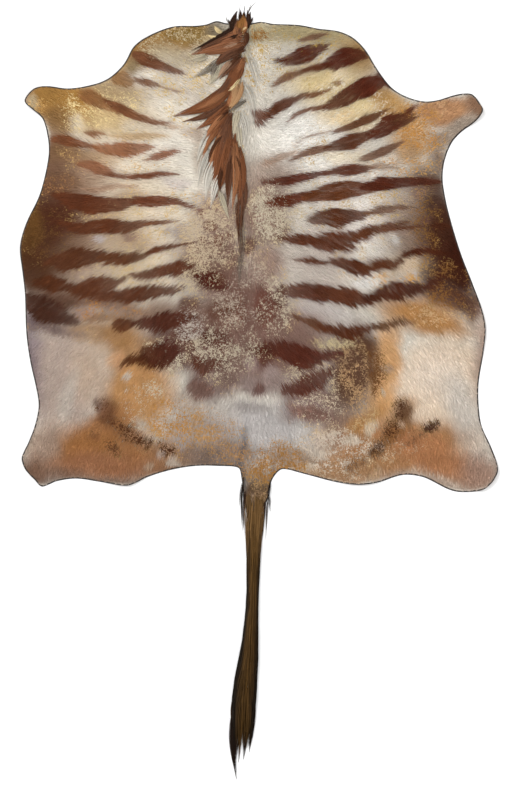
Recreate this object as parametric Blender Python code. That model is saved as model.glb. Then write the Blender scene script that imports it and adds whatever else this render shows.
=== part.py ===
"""A whole animal pelt, laid flat with its hair side up.

The skin is one sheet, from the nape to the end of the tail, with the four leg flaps left on. Long hair grows on it
in three places: a mane along the spine, a tuft at the nape, and a sleeve of hair down the tail that ends in a
switch. +Z is up, +Y runs towards the neck and +X to the viewer's right. The origin is on the underside, in the
middle of the back.
"""

import math
from collections import namedtuple

import bmesh
import bpy
import numpy as np
from mathutils import Vector
from mathutils.geometry import delaunay_2d_cdt

MM = 0.001

# Thickness of the tanned skin, and of the short coat that lies on it
SKIN = 2.0 * MM
COAT = 3.5 * MM
COAT_AT_RIM = 0.6 * MM
RIM_WIDTH = 15 * MM
# Clearance between a piece and what it lies on
CLEAR = 0.4 * MM

OUTLINE_STEP = 24 * MM
TAIL_STEP = 16 * MM
INNER_STEP = 52 * MM

# The cut edge of the skin, clockwise from the nape, in millimetres
RIGHT_EDGE = {
    "neck": [(-15, 678), (15, 683), (51, 677), (132, 673), (190, 662), (246, 655)],
    "shoulder": [(291, 636), (330, 597), (363, 543), (411, 483), (456, 457)],
    "front leg": [(507, 444), (552, 449), (597, 463), (648, 466), (672, 438), (682, 418), (660, 384), (624, 358)],
    "flank": [(591, 324), (568, 270), (561, 216), (570, 150), (588, 78), (618, -18), (651, -102), (681, -186)],
    "belly": [(690, -236), (684, -306), (669, -402), (670, -478)],
    "hind leg": [(679, -532), (702, -582), (723, -637), (727, -664), (708, -700), (684, -720), (602, -726)],
    "rump": [(557, -709), (507, -684), (444, -676), (366, -699), (309, -706), (231, -695), (150, -674), (76, -660)],
}
LEFT_EDGE = {
    "rump": [(-49, -657), (-111, -649), (-191, -650), (-270, -665), (-330, -685), (-381, -708), (-459, -698)],
    "hind leg": [(-540, -687), (-600, -696), (-642, -711), (-663, -690), (-691, -658), (-701, -627), (-683, -583)],
    "belly": [(-661, -526), (-650, -465), (-658, -414), (-675, -339), (-687, -255), (-692, -129)],
    "flank": [(-699, -66), (-706, 9), (-688, 78), (-651, 156), (-635, 207), (-620, 291), (-624, 342)],
    "front leg": [(-640, 394), (-668, 419), (-692, 444), (-663, 483), (-624, 490), (-564, 483), (-499, 492)],
    "shoulder": [(-445, 511), (-395, 556), (-365, 608), (-325, 638), (-250, 668), (-177, 671)],
    "neck": [(-147, 675), (-117, 685), (-90, 679), (-50, 677)],
}

# The skin of the tail: each row is a place along it, its middle and half its width, in millimetres
TailSkin = namedtuple("TailSkin", "y middle half")
TAIL_SKIN = [
    TailSkin(-686, 5, 47),
    TailSkin(-716, 2, 40),
    TailSkin(-750, 0, 36),
    TailSkin(-786, -5, 22),
    TailSkin(-840, -8, 15),
    TailSkin(-915, -10, 12),
    TailSkin(-990, -11, 9.5),
    TailSkin(-1068, -13, 8.5),
    TailSkin(-1170, -18, 7.5),
    TailSkin(-1245, -25, 6.5),
]
TAIL_SKIN_END = (-34, -1315)

# Where the skin stands off the floor: the middle, the way it runs, its reach along and across, and its height
Ripple = namedtuple("Ripple", "x y degrees along across height")
RIPPLES = [
    Ripple(-676, 452, 155, 95, 62, 12),
    Ripple(680, 424, 18, 105, 58, 14),
    Ripple(590, 404, 12, 110, 24, 5),
    Ripple(-694, -662, 50, 95, 80, 11),
    Ripple(716, -694, -48, 105, 85, 12),
    Ripple(-706, 10, 92, 150, 46, 6),
    Ripple(692, -236, 97, 160, 42, 6),
    Ripple(-648, -470, 84, 130, 40, 4),
    Ripple(-352, 622, 48, 115, 44, 5),
    Ripple(346, 580, -56, 120, 44, 5),
    Ripple(-33, -580, 94, 100, 17, 6),
    Ripple(39, -652, 88, 62, 14, 5),
    Ripple(-386, -702, 4, 105, 36, 5),
    Ripple(316, -702, -4, 115, 36, 5),
]

# A lock of long hair: where it grows, where it bends and where it ends, its width and thickness, and how far its
# belly stands above what it lies on, in millimetres
Lock = namedtuple("Lock", "root bend tip width thick belly")
MANE_LOCKS = [
    Lock((-32, 630), (-120, 628), (-200, 590), 40, 9, 3),
    Lock((-36, 618), (-110, 598), (-180, 586), 34, 8, 4),
    Lock((-38, 592), (-96, 584), (-134, 543), 34, 9, 6),
    Lock((-30, 578), (-66, 520), (-84, 470), 36, 9, 3),
    Lock((-26, 566), (-88, 470), (-120, 420), 46, 11, 6),
    Lock((-32, 520), (-120, 446), (-246, 405), 58, 12, 8),
    Lock((-46, 470), (-130, 424), (-222, 384), 38, 9, 5),
    Lock((-58, 440), (-120, 400), (-180, 364), 34, 8, 4),
    Lock((-60, 430), (-122, 372), (-153, 308), 42, 10, 6),
    Lock((-62, 410), (-128, 338), (-160, 286), 26, 8, 3),
    Lock((-64, 396), (-134, 330), (-174, 258), 24, 7, 2),
    Lock((-64, 386), (-118, 320), (-146, 254), 26, 8, 3),
    Lock((-58, 396), (-96, 300), (-128, 166), 50, 12, 7),
    Lock((-52, 350), (-90, 270), (-112, 192), 34, 9, 4),
    Lock((-48, 310), (-78, 220), (-91, 144), 32, 9, 4),
    Lock((-44, 300), (-60, 200), (-68, 124), 44, 11, 6),
    Lock((-40, 262), (-40, 180), (-41, 116), 26, 8, 4),
    Lock((-40, 170), (-36, 80), (-36, 10), 18, 6, 3),
    Lock((-24, 560), (0, 508), (10, 462), 26, 6, 2),
    Lock((-32, 500), (-8, 440), (2, 388), 28, 6, 2),
    Lock((-44, 452), (-22, 392), (-16, 340), 26, 6, 2),
    Lock((-48, 396), (-30, 340), (-30, 282), 24, 6, 2),
    Lock((-58, 384), (-150, 330), (-190, 276), 26, 6, 1),
    Lock((-54, 330), (-132, 264), (-168, 196), 28, 6, 1),
    Lock((-48, 282), (-118, 232), (-152, 176), 24, 6, 1),
]
# The line along the spine that the mane grows from: each point with half its width and its height
SpinePoint = namedtuple("SpinePoint", "x y half height")
SPINE = [
    SpinePoint(-36, 646, 8, 5),
    SpinePoint(-30, 612, 15, 9),
    SpinePoint(-26, 566, 18, 11),
    SpinePoint(-36, 500, 20, 12),
    SpinePoint(-54, 430, 20, 12),
    SpinePoint(-54, 360, 18, 11),
    SpinePoint(-46, 280, 16, 10),
    SpinePoint(-40, 200, 12, 8),
    SpinePoint(-37, 110, 8, 5),
    SpinePoint(-37, 40, 5, 3),
]
NAPE_LOCKS = [
    Lock((-62, 662), (-72, 696), (-59, 718), 20, 8, 1),
    Lock((-60, 666), (-78, 684), (-84, 690), 14, 6, 0),
    Lock((-52, 664), (-50, 692), (-41, 716), 22, 9, 2),
    Lock((-44, 664), (-36, 694), (-29, 717), 22, 9, 3),
    Lock((-36, 664), (-24, 692), (-21, 718), 20, 8, 1),
    Lock((-32, 664), (-20, 684), (-18, 695), 14, 6, 0),
]
NAPE_STRIP = [
    SpinePoint(-76, 662, 7, 6),
    SpinePoint(-60, 662, 9, 8),
    SpinePoint(-42, 663, 9, 9),
    SpinePoint(-22, 662, 7, 6),
]

# The sleeve of hair down the tail: a place along it, its left and right edge and its height, in millimetres
TailHair = namedtuple("TailHair", "y left right height")
TAIL_HAIR = [
    TailHair(-776, -33, 24, 9),
    TailHair(-800, -36, 23, 13),
    TailHair(-840, -35, 20, 16),
    TailHair(-915, -32, 13, 18),
    TailHair(-990, -29, 7, 19),
    TailHair(-1068, -33, 6, 21),
    TailHair(-1170, -42, 7, 24),
    TailHair(-1230, -58, 7, 27),
    TailHair(-1281, -68, 4, 29),
    TailHair(-1335, -75, 0, 30),
    TailHair(-1386, -78, -4, 27),
    TailHair(-1432, -76, -12, 21),
]
SWITCH_LOCKS = [
    Lock((-62, -1380), (-74, -1460), (-62, -1560), 30, 15, 0),
    Lock((-52, -1390), (-60, -1470), (-58, -1540), 26, 15, 2),
    Lock((-34, -1390), (-34, -1470), (-39, -1532), 26, 14, 1),
    Lock((-22, -1385), (-26, -1450), (-33, -1505), 22, 12, 0),
    Lock((-16, -1370), (-16, -1430), (-19, -1495), 12, 7, 0),
    Lock((-66, -1300), (-80, -1360), (-79, -1420), 18, 10, 0),
]

LOCK_RINGS = 8
LOCK_WIDEST = 0.3
TIP_SHARE = 0.07
SLEEVE_SIDES = 7


def clear_scene():
    for obj in list(bpy.data.objects):
        bpy.data.objects.remove(obj)


def smooth_line(points, step, closed=False):
    """A centripetal Catmull-Rom curve through the points, as points about step apart."""
    points = [np.array(p, float) for p in points]
    if closed:
        points = [points[-1], *points, points[0], points[1]]
    else:
        points = [2 * points[0] - points[1], *points, 2 * points[-1] - points[-2]]
    line = []
    for p0, p1, p2, p3 in zip(points, points[1:], points[2:], points[3:]):
        t1 = np.linalg.norm(p1 - p0) ** 0.5
        t2 = t1 + np.linalg.norm(p2 - p1) ** 0.5
        t3 = t2 + np.linalg.norm(p3 - p2) ** 0.5
        count = max(1, round(float(np.linalg.norm(p2 - p1)) / step))
        for t in np.linspace(t1, t2, count, endpoint=False):
            a1 = ((t1 - t) * p0 + t * p1) / t1
            a2 = ((t2 - t) * p1 + (t - t1) * p2) / (t2 - t1)
            a3 = ((t3 - t) * p2 + (t - t2) * p3) / (t3 - t2)
            b1 = ((t2 - t) * a1 + t * a2) / t2
            b2 = ((t3 - t) * a2 + (t - t1) * a3) / (t3 - t1)
            line.append(((t2 - t) * b1 + (t - t1) * b2) / (t2 - t1))
    if not closed:
        line.append(points[-2])
    return np.array(line)


def skin_outline():
    """The whole cut edge, with the tail between its two halves, in metres."""
    edge = [p for stretch in RIGHT_EDGE.values() for p in stretch]
    edge += [(row.middle + row.half, row.y) for row in TAIL_SKIN]
    edge += [TAIL_SKIN_END]
    edge += [(row.middle - row.half, row.y) for row in reversed(TAIL_SKIN)]
    edge += [p for stretch in LEFT_EDGE.values() for p in stretch]
    return smooth_line(np.array(edge) * MM, OUTLINE_STEP, closed=True)


def distance_to(outline, points):
    """How far each point is from a closed line."""
    start = outline
    along = np.roll(outline, -1, axis=0) - start
    best = np.full(len(points), np.inf)
    for a, d in zip(start, along):
        t = np.clip((points - a) @ d / (d @ d), 0, 1)
        best = np.minimum(best, np.linalg.norm(points - a - t[:, None] * d, axis=1))
    return best


def inside(outline, points):
    """Whether each point lies within a closed line, by counting the edges to its right."""
    x, y = points.T
    within = np.zeros(len(points), bool)
    for (x0, y0), (x1, y1) in zip(outline, np.roll(outline, -1, axis=0)):
        if y0 != y1:
            crosses = (y0 > y) != (y1 > y)
            within ^= crosses & (x < x0 + (y - y0) / (y1 - y0) * (x1 - x0))
    return within


def lift(x, y):
    """How far the underside stands off the floor. It is exactly 0 away from the ripples."""
    height = np.zeros(np.shape(x))
    for r in RIPPLES:
        turn = math.radians(r.degrees)
        dx = x / MM - r.x
        dy = y / MM - r.y
        u = (dx * math.cos(turn) + dy * math.sin(turn)) / r.along
        v = (dy * math.cos(turn) - dx * math.sin(turn)) / r.across
        height += r.height * MM * np.clip(1 - u * u - v * v, 0, 1) ** 2
    return height


def coat_height(from_edge):
    """The short coat thins out towards the cut edge."""
    rise = np.clip(from_edge / RIM_WIDTH, 0, 1)
    return COAT_AT_RIM + (COAT - COAT_AT_RIM) * np.sin(rise * math.pi / 2)


def hide_top(x, y):
    """The top of the coat well inside the cut edge."""
    return lift(np.array(x, float), np.array(y, float)) + SKIN + COAT


def inner_points(outline):
    """Points for the sheet's mesh: a row just inside the edge, the middle of the tail, and a staggered grid."""
    following = np.roll(outline, -1, axis=0) - np.roll(outline, 1, axis=0)
    inward = np.stack([following[:, 1], -following[:, 0]], axis=1)
    inward /= np.linalg.norm(inward, axis=1)[:, None]
    row = outline + inward * RIM_WIDTH
    row = row[distance_to(outline, row) > 0.95 * RIM_WIDTH]
    tail = np.array([(r.middle, r.y) for r in TAIL_SKIN[3:]]) * MM
    tail = smooth_line(tail, TAIL_STEP)
    low = outline.min(axis=0)
    high = outline.max(axis=0)
    rise = INNER_STEP * math.sqrt(3) / 2
    grid = [
        (x + INNER_STEP / 2 * (i % 2), y)
        for i, y in enumerate(np.arange(low[1], high[1], rise))
        for x in np.arange(low[0], high[0], INNER_STEP)
    ]
    grid = np.array(grid)
    far = distance_to(outline, grid) > RIM_WIDTH + 0.45 * INNER_STEP
    grid = grid[inside(outline, grid) & far]
    return np.concatenate([row[inside(outline, row)], tail, grid])


def plan_triangles(outline, others):
    """Points and triangles that fill a closed line and use the other points too."""
    points = [Vector(p) for p in np.concatenate([outline, others])]
    count = len(outline)
    edges = [(i, (i + 1) % count) for i in range(count)]
    found, _, faces, *_ = delaunay_2d_cdt(points, edges, [], 1, 1e-6)
    return np.array(found), faces


def sheet_mesh(name, outline, others, top, bottom):
    """A closed sheet between two heights, each a function of (x, y, distance from the edge)."""
    plan, faces = plan_triangles(outline, others)
    from_edge = distance_to(outline, plan)
    upper = top(plan[:, 0], plan[:, 1], from_edge)
    lower = bottom(plan[:, 0], plan[:, 1], from_edge)
    bm = bmesh.new()
    above = [bm.verts.new((x, y, z)) for (x, y), z in zip(plan, upper)]
    below = [bm.verts.new((x, y, z)) for (x, y), z in zip(plan, lower)]
    for face in faces:
        bm.faces.new([above[i] for i in face])
        bm.faces.new([below[i] for i in reversed(face)])
    sides = {}
    for face in faces:
        for a, b in zip(face, [*face[1:], face[0]]):
            if (b, a) in sides:
                del sides[b, a]
            else:
                sides[a, b] = True
    for a, b in sides:
        bm.faces.new([above[b], above[a], below[a], below[b]])
    bmesh.ops.recalc_face_normals(bm, faces=bm.faces)
    mesh = bpy.data.meshes.new(name)
    bm.to_mesh(mesh)
    bm.free()
    return mesh


def add_object(name, mesh, material):
    obj = bpy.data.objects.new(name, mesh)
    bpy.context.scene.collection.objects.link(obj)
    mesh.materials.append(material)
    mesh.shade_smooth()
    mesh.set_sharp_from_angle(angle=math.radians(40))
    return obj


def add_helper(name, mesh):
    """An operand of a Boolean: seen as wire, and left out of a render."""
    obj = bpy.data.objects.new(name, mesh)
    bpy.context.scene.collection.objects.link(obj)
    obj.hide_render = True
    obj.display_type = "WIRE"
    return obj


def rings_mesh(name, rings, pointed):
    """A closed body through rings of points. The last ring may close to a point."""
    bm = bmesh.new()
    made = [[bm.verts.new(p) for p in ring] for ring in rings]
    for one, other in zip(made, made[1:]):
        for a, b, c, d in zip(one, one[1:] + one[:1], other[1:] + other[:1], other):
            bm.faces.new([a, b, c, d])
    bm.faces.new(list(reversed(made[0])))
    if pointed is None:
        bm.faces.new(made[-1])
    else:
        tip = bm.verts.new(pointed)
        for a, b in zip(made[-1], made[-1][1:] + made[-1][:1]):
            bm.faces.new([a, b, tip])
    bmesh.ops.recalc_face_normals(bm, faces=bm.faces)
    mesh = bpy.data.meshes.new(name)
    bm.to_mesh(mesh)
    bm.free()
    return mesh


def lock_swell(t):
    """Half a lock's width along it, as a share of its widest: full near the root, then running to a point."""
    if t < LOCK_WIDEST:
        return 0.72 + 0.28 * math.sin(t / LOCK_WIDEST * math.pi / 2)
    past = (t - LOCK_WIDEST) / (1 - LOCK_WIDEST)
    return max(TIP_SHARE, 1 - past**1.6)


def lock_mesh(name, lock, ground):
    """A four-sided lock that bends from its root to its tip along the ground given."""
    ends = np.array([lock.root, lock.bend, lock.tip]) * MM
    length = np.linalg.norm(ends[1] - ends[0]) + np.linalg.norm(ends[2] - ends[1])
    line = smooth_line(ends, length / (2 * LOCK_RINGS))
    line = line[np.linspace(0, len(line) - 1, LOCK_RINGS + 1).round().astype(int)]
    rings = []
    for i, (x, y) in enumerate(line[:-1]):
        t = i / LOCK_RINGS
        ahead = Vector(line[i + 1] - line[max(i - 1, 0)]).normalized()
        aside = Vector((-ahead.y, ahead.x, 0)) * (lock.width / 2 * MM * lock_swell(t))
        floor = float(ground(x, y)) + CLEAR + lock.belly * MM * math.cos(t * math.pi / 2)
        thick = lock.thick * MM * max(0.25, lock_swell(t))
        edge_up = max(float(ground(x + s * aside.x, y + s * aside.y)) + CLEAR for s in (-1, 1))
        middle = Vector((x, y, max(floor + 0.4 * thick, edge_up)))
        rings.append([middle + aside, Vector((x, y, floor)), middle - aside, Vector((x, y, floor + thick))])
    x, y = line[-1]
    tip = Vector((x, y, float(ground(x, y)) + CLEAR + 0.5 * MM))
    return rings_mesh(name, rings, tip)


def strip_mesh(name, line, ground):
    """The low ridge that locks are rooted in: flat below, with a rounded back."""
    places = smooth_line([(p.x, p.y, p.half, p.height) for p in line], 22)
    rings = []
    for i, (x, y, half, height) in enumerate(places):
        before = places[max(i - 1, 0)][:2]
        after = places[min(i + 1, len(places) - 1)][:2]
        ahead = Vector(after - before).normalized()
        ring = []
        for side, up in ((1, 0), (0.8, 0.6), (0, 1), (-0.8, 0.6), (-1, 0)):
            at = Vector((x - ahead.y * side * half, y + ahead.x * side * half)) * MM
            ring.append(Vector((at.x, at.y, float(ground(at.x, at.y)) + CLEAR + up * height * MM)))
        rings.append(ring)
    return rings_mesh(name, rings, None)


def fuse(obj, helpers, operation="UNION"):
    """Joins the helpers to an object, or cuts them from it."""
    group = bpy.data.collections.new(f"{obj.name} {operation.lower()}")
    for helper in helpers:
        group.objects.link(helper)
    boolean = obj.modifiers.new(operation.lower(), "BOOLEAN")
    boolean.operation = operation
    boolean.operand_type = "COLLECTION"
    boolean.collection = group
    boolean.solver = "EXACT"
    boolean.use_self = operation == "UNION"


def rooted_locks(name, strip, locks, ground, material):
    """Locks fused at their roots into one strip."""
    obj = add_object(name, strip_mesh(name, strip, ground), material)
    fuse(obj, [
        add_helper(f"{name}_lock_{i}", lock_mesh(f"{name}_lock_{i}", lock, ground))
        for i, lock in enumerate(locks)
    ])
    return obj


def neck_edge():
    """Height of the neck's cut edge above the origin, where the nape tuft leaves the skin."""
    return RIGHT_EDGE["neck"][0][1] * MM


def nape_ground(x, y):
    """What the nape tuft lies on: the coat, then down past the cut edge of the neck to the floor."""
    past = np.clip((y - neck_edge() + 6 * MM) / (26 * MM), 0, 1)
    drop = past * past * (3 - 2 * past)
    return hide_top(x, y) * (1 - drop)


def floor_level(x, y):
    return 0.0


def sleeve_mesh(name):
    """The hair down the tail: flat on the floor, with a rounded back."""
    rows = smooth_line([(r.y, r.left, r.right, r.height) for r in TAIL_HAIR], 26)
    rings = []
    for y, left, right, height in rows:
        middle = (left + right) / 2
        half = (right - left) / 2
        ring = []
        for i in range(SLEEVE_SIDES + 1):
            turn = math.pi * i / SLEEVE_SIDES
            ring.append(Vector((middle + half * math.cos(turn), y, height * math.sin(turn) ** 0.8)) * MM)
        rings.append(ring)
    return rings_mesh(name, rings, None)


def tail_channel_mesh(name):
    """The room that the skin of the tail takes up inside the sleeve."""
    spare = CLEAR / MM
    rows = smooth_line([(r.y, r.middle, r.half) for r in TAIL_SKIN[2:]], 26)
    top = (SKIN + COAT) / MM + spare
    rings = []
    for y, middle, half in rows:
        wide = half + spare + 0.6
        rings.append([
            Vector((middle + side * wide, y, z)) * MM
            for side, z in ((-1, -5), (1, -5), (1, top), (-1, top))
        ])
    end_x, end_y = TAIL_SKIN_END
    last = TAIL_SKIN[-1]
    for side_half, y in ((last.half * 0.7, (last.y + end_y) / 2 - 12), (2.5, end_y - 3)):
        middle = end_x if y < end_y else (last.middle + end_x) / 2
        wide = side_half + spare + 1
        rings.append([
            Vector((middle + side * wide, y, z)) * MM
            for side, z in ((-1, -5), (1, -5), (1, top), (-1, top))
        ])
    return rings_mesh(name, rings, None)


def hair_material(name, colour, roughness):
    material = bpy.data.materials.new(name)
    material.use_nodes = True
    shader = material.node_tree.nodes["Principled BSDF"]
    shader.inputs["Base Color"].default_value = (*colour, 1)
    shader.inputs["Roughness"].default_value = roughness
    shader.inputs["Metallic"].default_value = 0
    return material


def make_hide(material):
    outline = skin_outline()
    mesh = sheet_mesh(
        "hide",
        outline,
        inner_points(outline),
        lambda x, y, from_edge: lift(x, y) + SKIN + coat_height(from_edge),
        lambda x, y, from_edge: lift(x, y),
    )
    return add_object("hide", mesh, material)


def make_tail_hair(material):
    obj = add_object("tail_hair", sleeve_mesh("tail_hair"), material)
    fuse(obj, [
        add_helper(f"switch_lock_{i}", lock_mesh(f"switch_lock_{i}", lock, floor_level))
        for i, lock in enumerate(SWITCH_LOCKS)
    ])
    fuse(obj, [add_helper("tail_channel", tail_channel_mesh("tail_channel"))], "DIFFERENCE")
    return obj


def main():
    clear_scene()
    make_hide(hair_material("striped coat", (0.52, 0.41, 0.29), 0.8))
    mane = hair_material("mane hair", (0.20, 0.07, 0.03), 0.6)
    rooted_locks("mane", SPINE, MANE_LOCKS, hide_top, mane)
    nape = hair_material("nape hair", (0.10, 0.045, 0.02), 0.6)
    rooted_locks("nape_tuft", NAPE_STRIP, NAPE_LOCKS, nape_ground, nape)
    make_tail_hair(hair_material("tail hair", (0.07, 0.04, 0.018), 0.55))


main()
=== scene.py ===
# %% [markdown]
# # A striped animal pelt with a mane and a long haired tail
#
# The solids of this pelt are already made: a flat skin with its tail, a ridge of locks for the mane, a tuft
# at the nape and a sleeve of hair round the tail. They are right in size and place, and plain. This script
# dresses them.
#
# A real hide is a sheet of leather with three sorts of hair on it: a short coat that lies flat and carries
# the markings, long coarse hair along the spine, and longer hair down the tail. Each is made here in the
# way it grows.

import math
from collections import namedtuple

import bpy
import numpy as np
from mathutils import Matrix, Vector
from mathutils.geometry import delaunay_2d_cdt


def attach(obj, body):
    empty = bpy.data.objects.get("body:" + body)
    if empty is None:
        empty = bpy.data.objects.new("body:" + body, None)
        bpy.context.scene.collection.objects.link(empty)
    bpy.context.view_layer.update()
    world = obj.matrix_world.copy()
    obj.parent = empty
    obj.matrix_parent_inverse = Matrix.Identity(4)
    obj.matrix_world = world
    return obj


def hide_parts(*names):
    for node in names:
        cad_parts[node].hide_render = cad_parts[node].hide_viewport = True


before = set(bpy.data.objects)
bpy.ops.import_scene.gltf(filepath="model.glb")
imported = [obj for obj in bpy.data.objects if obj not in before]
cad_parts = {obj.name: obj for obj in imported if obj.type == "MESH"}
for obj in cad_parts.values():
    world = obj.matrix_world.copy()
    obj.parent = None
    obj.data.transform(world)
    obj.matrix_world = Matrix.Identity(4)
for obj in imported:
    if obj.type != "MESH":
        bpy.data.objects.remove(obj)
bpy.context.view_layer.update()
MM = 0.001
rng = np.random.default_rng(41)
print("solids:", ", ".join(sorted(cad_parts)))

# %% [markdown]
# ## The chart
#
# All markings are charted on squares of 3 mm, columns counted to the right and rows downwards. A
# square is one pixel of the photograph that the pelt is rebuilt from, at the size chosen for it. Colours were
# chosen by comparing the render with the photograph, and nothing here reads the photograph.
# `place` turns a chart place into metres, where the middle of the back is the origin and +Y runs towards the
# neck.

# %% Chart, colours and noise
SQUARE = 3 * MM
SPINE_COLUMN = 255
MIDDLE_ROW = 249


def place(cells):
    """Chart places, as (column, row), in metres."""
    cells = np.array(cells, float).reshape(-1, 2)
    return np.stack([cells[:, 0] - SPINE_COLUMN, MIDDLE_ROW - cells[:, 1]], axis=1) * SQUARE


def colour(code):
    """A screen colour such as "7a482d" as linear red, green and blue."""
    parts = np.array([int(code[i : i + 2], 16) for i in (0, 2, 4)]) / 255
    return np.where(parts <= 0.04045, parts / 12.92, ((parts + 0.055) / 1.055) ** 2.4)


def scatter(i, j, seed):
    """A number from 0 to 1 for each square of a lattice, always the same one."""
    h = (i * 374761393 + j * 668265263 + seed * 974634777) & 0xFFFFFFFF
    h = ((h ^ (h >> 13)) * 1274126177) & 0xFFFFFFFF
    return ((h ^ (h >> 16)) & 0xFFFF) / 65535


def noise(x, y, size, seed):
    """Smooth noise from -1 to 1 whose lumps are about size across."""
    u, v = x / size, y / size
    i, j = np.floor(u).astype(np.int64), np.floor(v).astype(np.int64)
    u, v = u - i, v - j
    u, v = u * u * (3 - 2 * u), v * v * (3 - 2 * v)
    low = scatter(i, j, seed) * (1 - u) + scatter(i + 1, j, seed) * u
    high = scatter(i, j + 1, seed) * (1 - u) + scatter(i + 1, j + 1, seed) * u
    return (low * (1 - v) + high * v) * 2 - 1


def rough_noise(x, y, size, seed):
    """Three sizes of noise in one, from about -1 to 1."""
    big = noise(x, y, size, seed)
    return (big + 0.5 * noise(x, y, size / 2.1, seed + 1) + 0.25 * noise(x, y, size / 4.3, seed + 2)) / 1.3


def ease(low, high, value):
    """A smooth step from 0 at low to 1 at high. Low may be the larger of the two."""
    t = np.clip((value - low) / (high - low), 0, 1)
    return t * t * (3 - 2 * t)


print("one chart square is", SQUARE, "m")

# %% [markdown]
# ## The cut edge
#
# The knife leaves one smooth line round the skin. The solid has that line as a polygon of 24 mm sides, so
# it is read from the solid's underside and then rounded with a spline. Nothing about the outline is written
# twice.

# %% Outline of the skin
EDGE_STEP = 5 * MM


def cut_edge():
    """The outline of the hide's solid, as corners in order."""
    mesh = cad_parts["hide"].data
    places = np.array([v.co for v in mesh.vertices])
    same = {}
    number = [same.setdefault(tuple(np.round(p, 6)), len(same)) for p in places]
    corners = np.array(list(same))
    sides = {}
    for face in mesh.polygons:
        if face.normal.z > -0.5:
            continue
        ring = [number[i] for i in face.vertices]
        for a, b in zip(ring, ring[1:] + ring[:1]):
            if (b, a) in sides:
                del sides[b, a]
            else:
                sides[a, b] = True
    following = {a: b for a, b in sides}
    start = min(following)
    line = [start]
    while following[line[-1]] != start:
        line.append(following[line[-1]])
    return corners[line][:, :2]


def spline(points, step, closed=False):
    """A centripetal Catmull-Rom curve through the points, with points about step apart."""
    points = [np.array(p, float) for p in points]
    if closed:
        points = [points[-1], *points, points[0], points[1]]
    else:
        points = [2 * points[0] - points[1], *points, 2 * points[-1] - points[-2]]
    line = []
    for p0, p1, p2, p3 in zip(points, points[1:], points[2:], points[3:]):
        t1 = np.linalg.norm(p1 - p0) ** 0.5
        t2 = t1 + np.linalg.norm(p2 - p1) ** 0.5
        t3 = t2 + np.linalg.norm(p3 - p2) ** 0.5
        count = max(1, round(float(np.linalg.norm(p2 - p1)) / step))
        for t in np.linspace(t1, t2, count, endpoint=False):
            a1 = ((t1 - t) * p0 + t * p1) / t1
            a2 = ((t2 - t) * p1 + (t - t1) * p2) / (t2 - t1)
            a3 = ((t3 - t) * p2 + (t - t2) * p3) / (t3 - t2)
            b1 = ((t2 - t) * a1 + t * a2) / t2
            b2 = ((t3 - t) * a2 + (t - t1) * a3) / (t3 - t1)
            line.append(((t2 - t) * b1 + (t - t1) * b2) / (t2 - t1))
    if not closed:
        line.append(points[-2])
    return np.array(line)


edge = spline(cut_edge(), EDGE_STEP, closed=True)
# Twice the area, with a sign. The line has to run clockwise, which gives a sign below 0.
area_turn = np.sum(edge[:, 0] * np.roll(edge[:, 1], -1) - np.roll(edge[:, 0], -1) * edge[:, 1])
if area_turn > 0:
    edge = edge[::-1]
print("edge points:", len(edge), " flat area of the skin:", round(abs(area_turn) / 2, 3), "m2")

# %% [markdown]
# ## Room
#
# Hair is trimmed where it would hang past the cut edge, and the edge itself stays bare and dark. Both need
# to know how far any place is from the edge. That is worked out once on a 4 mm lattice, and read from it
# afterwards.

# %% Distance to the cut edge
PITCH = 4 * MM
MARGIN = 60 * MM
REACH = 120 * MM
lattice_low = edge.min(axis=0) - MARGIN
lattice_count = np.ceil((edge.max(axis=0) + MARGIN - lattice_low) / PITCH).astype(int) + 1


def inside(outline, x, y):
    """Whether each place is within a closed line, by counting the sides it crosses on its right."""
    within = np.zeros(x.shape, bool)
    for (x0, y0), (x1, y1) in zip(outline, np.roll(outline, -1, axis=0)):
        if y0 != y1:
            crosses = (y0 > y) != (y1 > y)
            within ^= crosses & (x < x0 + (y - y0) / (y1 - y0) * (x1 - x0))
    return within


def distance_lattice():
    """Distance to the edge at each lattice point, below 0 outside."""
    xs = lattice_low[0] + np.arange(lattice_count[0]) * PITCH
    ys = lattice_low[1] + np.arange(lattice_count[1]) * PITCH
    gx, gy = np.meshgrid(xs, ys, indexing="ij")
    nearest = np.full(gx.shape, 1e6)
    for px, py in edge:
        i = slice(*np.searchsorted(xs, (px - REACH, px + REACH)))
        j = slice(*np.searchsorted(ys, (py - REACH, py + REACH)))
        gap = (gx[i, j] - px) ** 2 + (gy[i, j] - py) ** 2
        nearest[i, j] = np.minimum(nearest[i, j], gap)
    nearest = np.minimum(np.sqrt(nearest), REACH)
    return np.where(inside(edge, gx, gy), nearest, -nearest)


room_lattice = distance_lattice()


def room(x, y):
    """How far each place is from the cut edge, up to 120 mm, and below 0 outside it."""
    u = np.clip((x - lattice_low[0]) / PITCH, 0, lattice_count[0] - 1.001)
    v = np.clip((y - lattice_low[1]) / PITCH, 0, lattice_count[1] - 1.001)
    i, j = u.astype(int), v.astype(int)
    u, v = u - i, v - j
    low = room_lattice[i, j] * (1 - u) + room_lattice[i + 1, j] * u
    high = room_lattice[i, j + 1] * (1 - u) + room_lattice[i + 1, j + 1] * u
    return low * (1 - v) + high * v


print("lattice:", room_lattice.shape, " deepest:", round(float(room_lattice.max()), 3))

# %% [markdown]
# ## Relief
#
# A dried hide never lies quite flat. Its leg flaps curl, its edge lifts in shallow waves and a crease runs
# up from the tail. The larger ripples are the solid's own, as a table in millimetres. Finer wrinkles are
# noise, strongest near the edge, where the skin has dried fastest.

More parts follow.
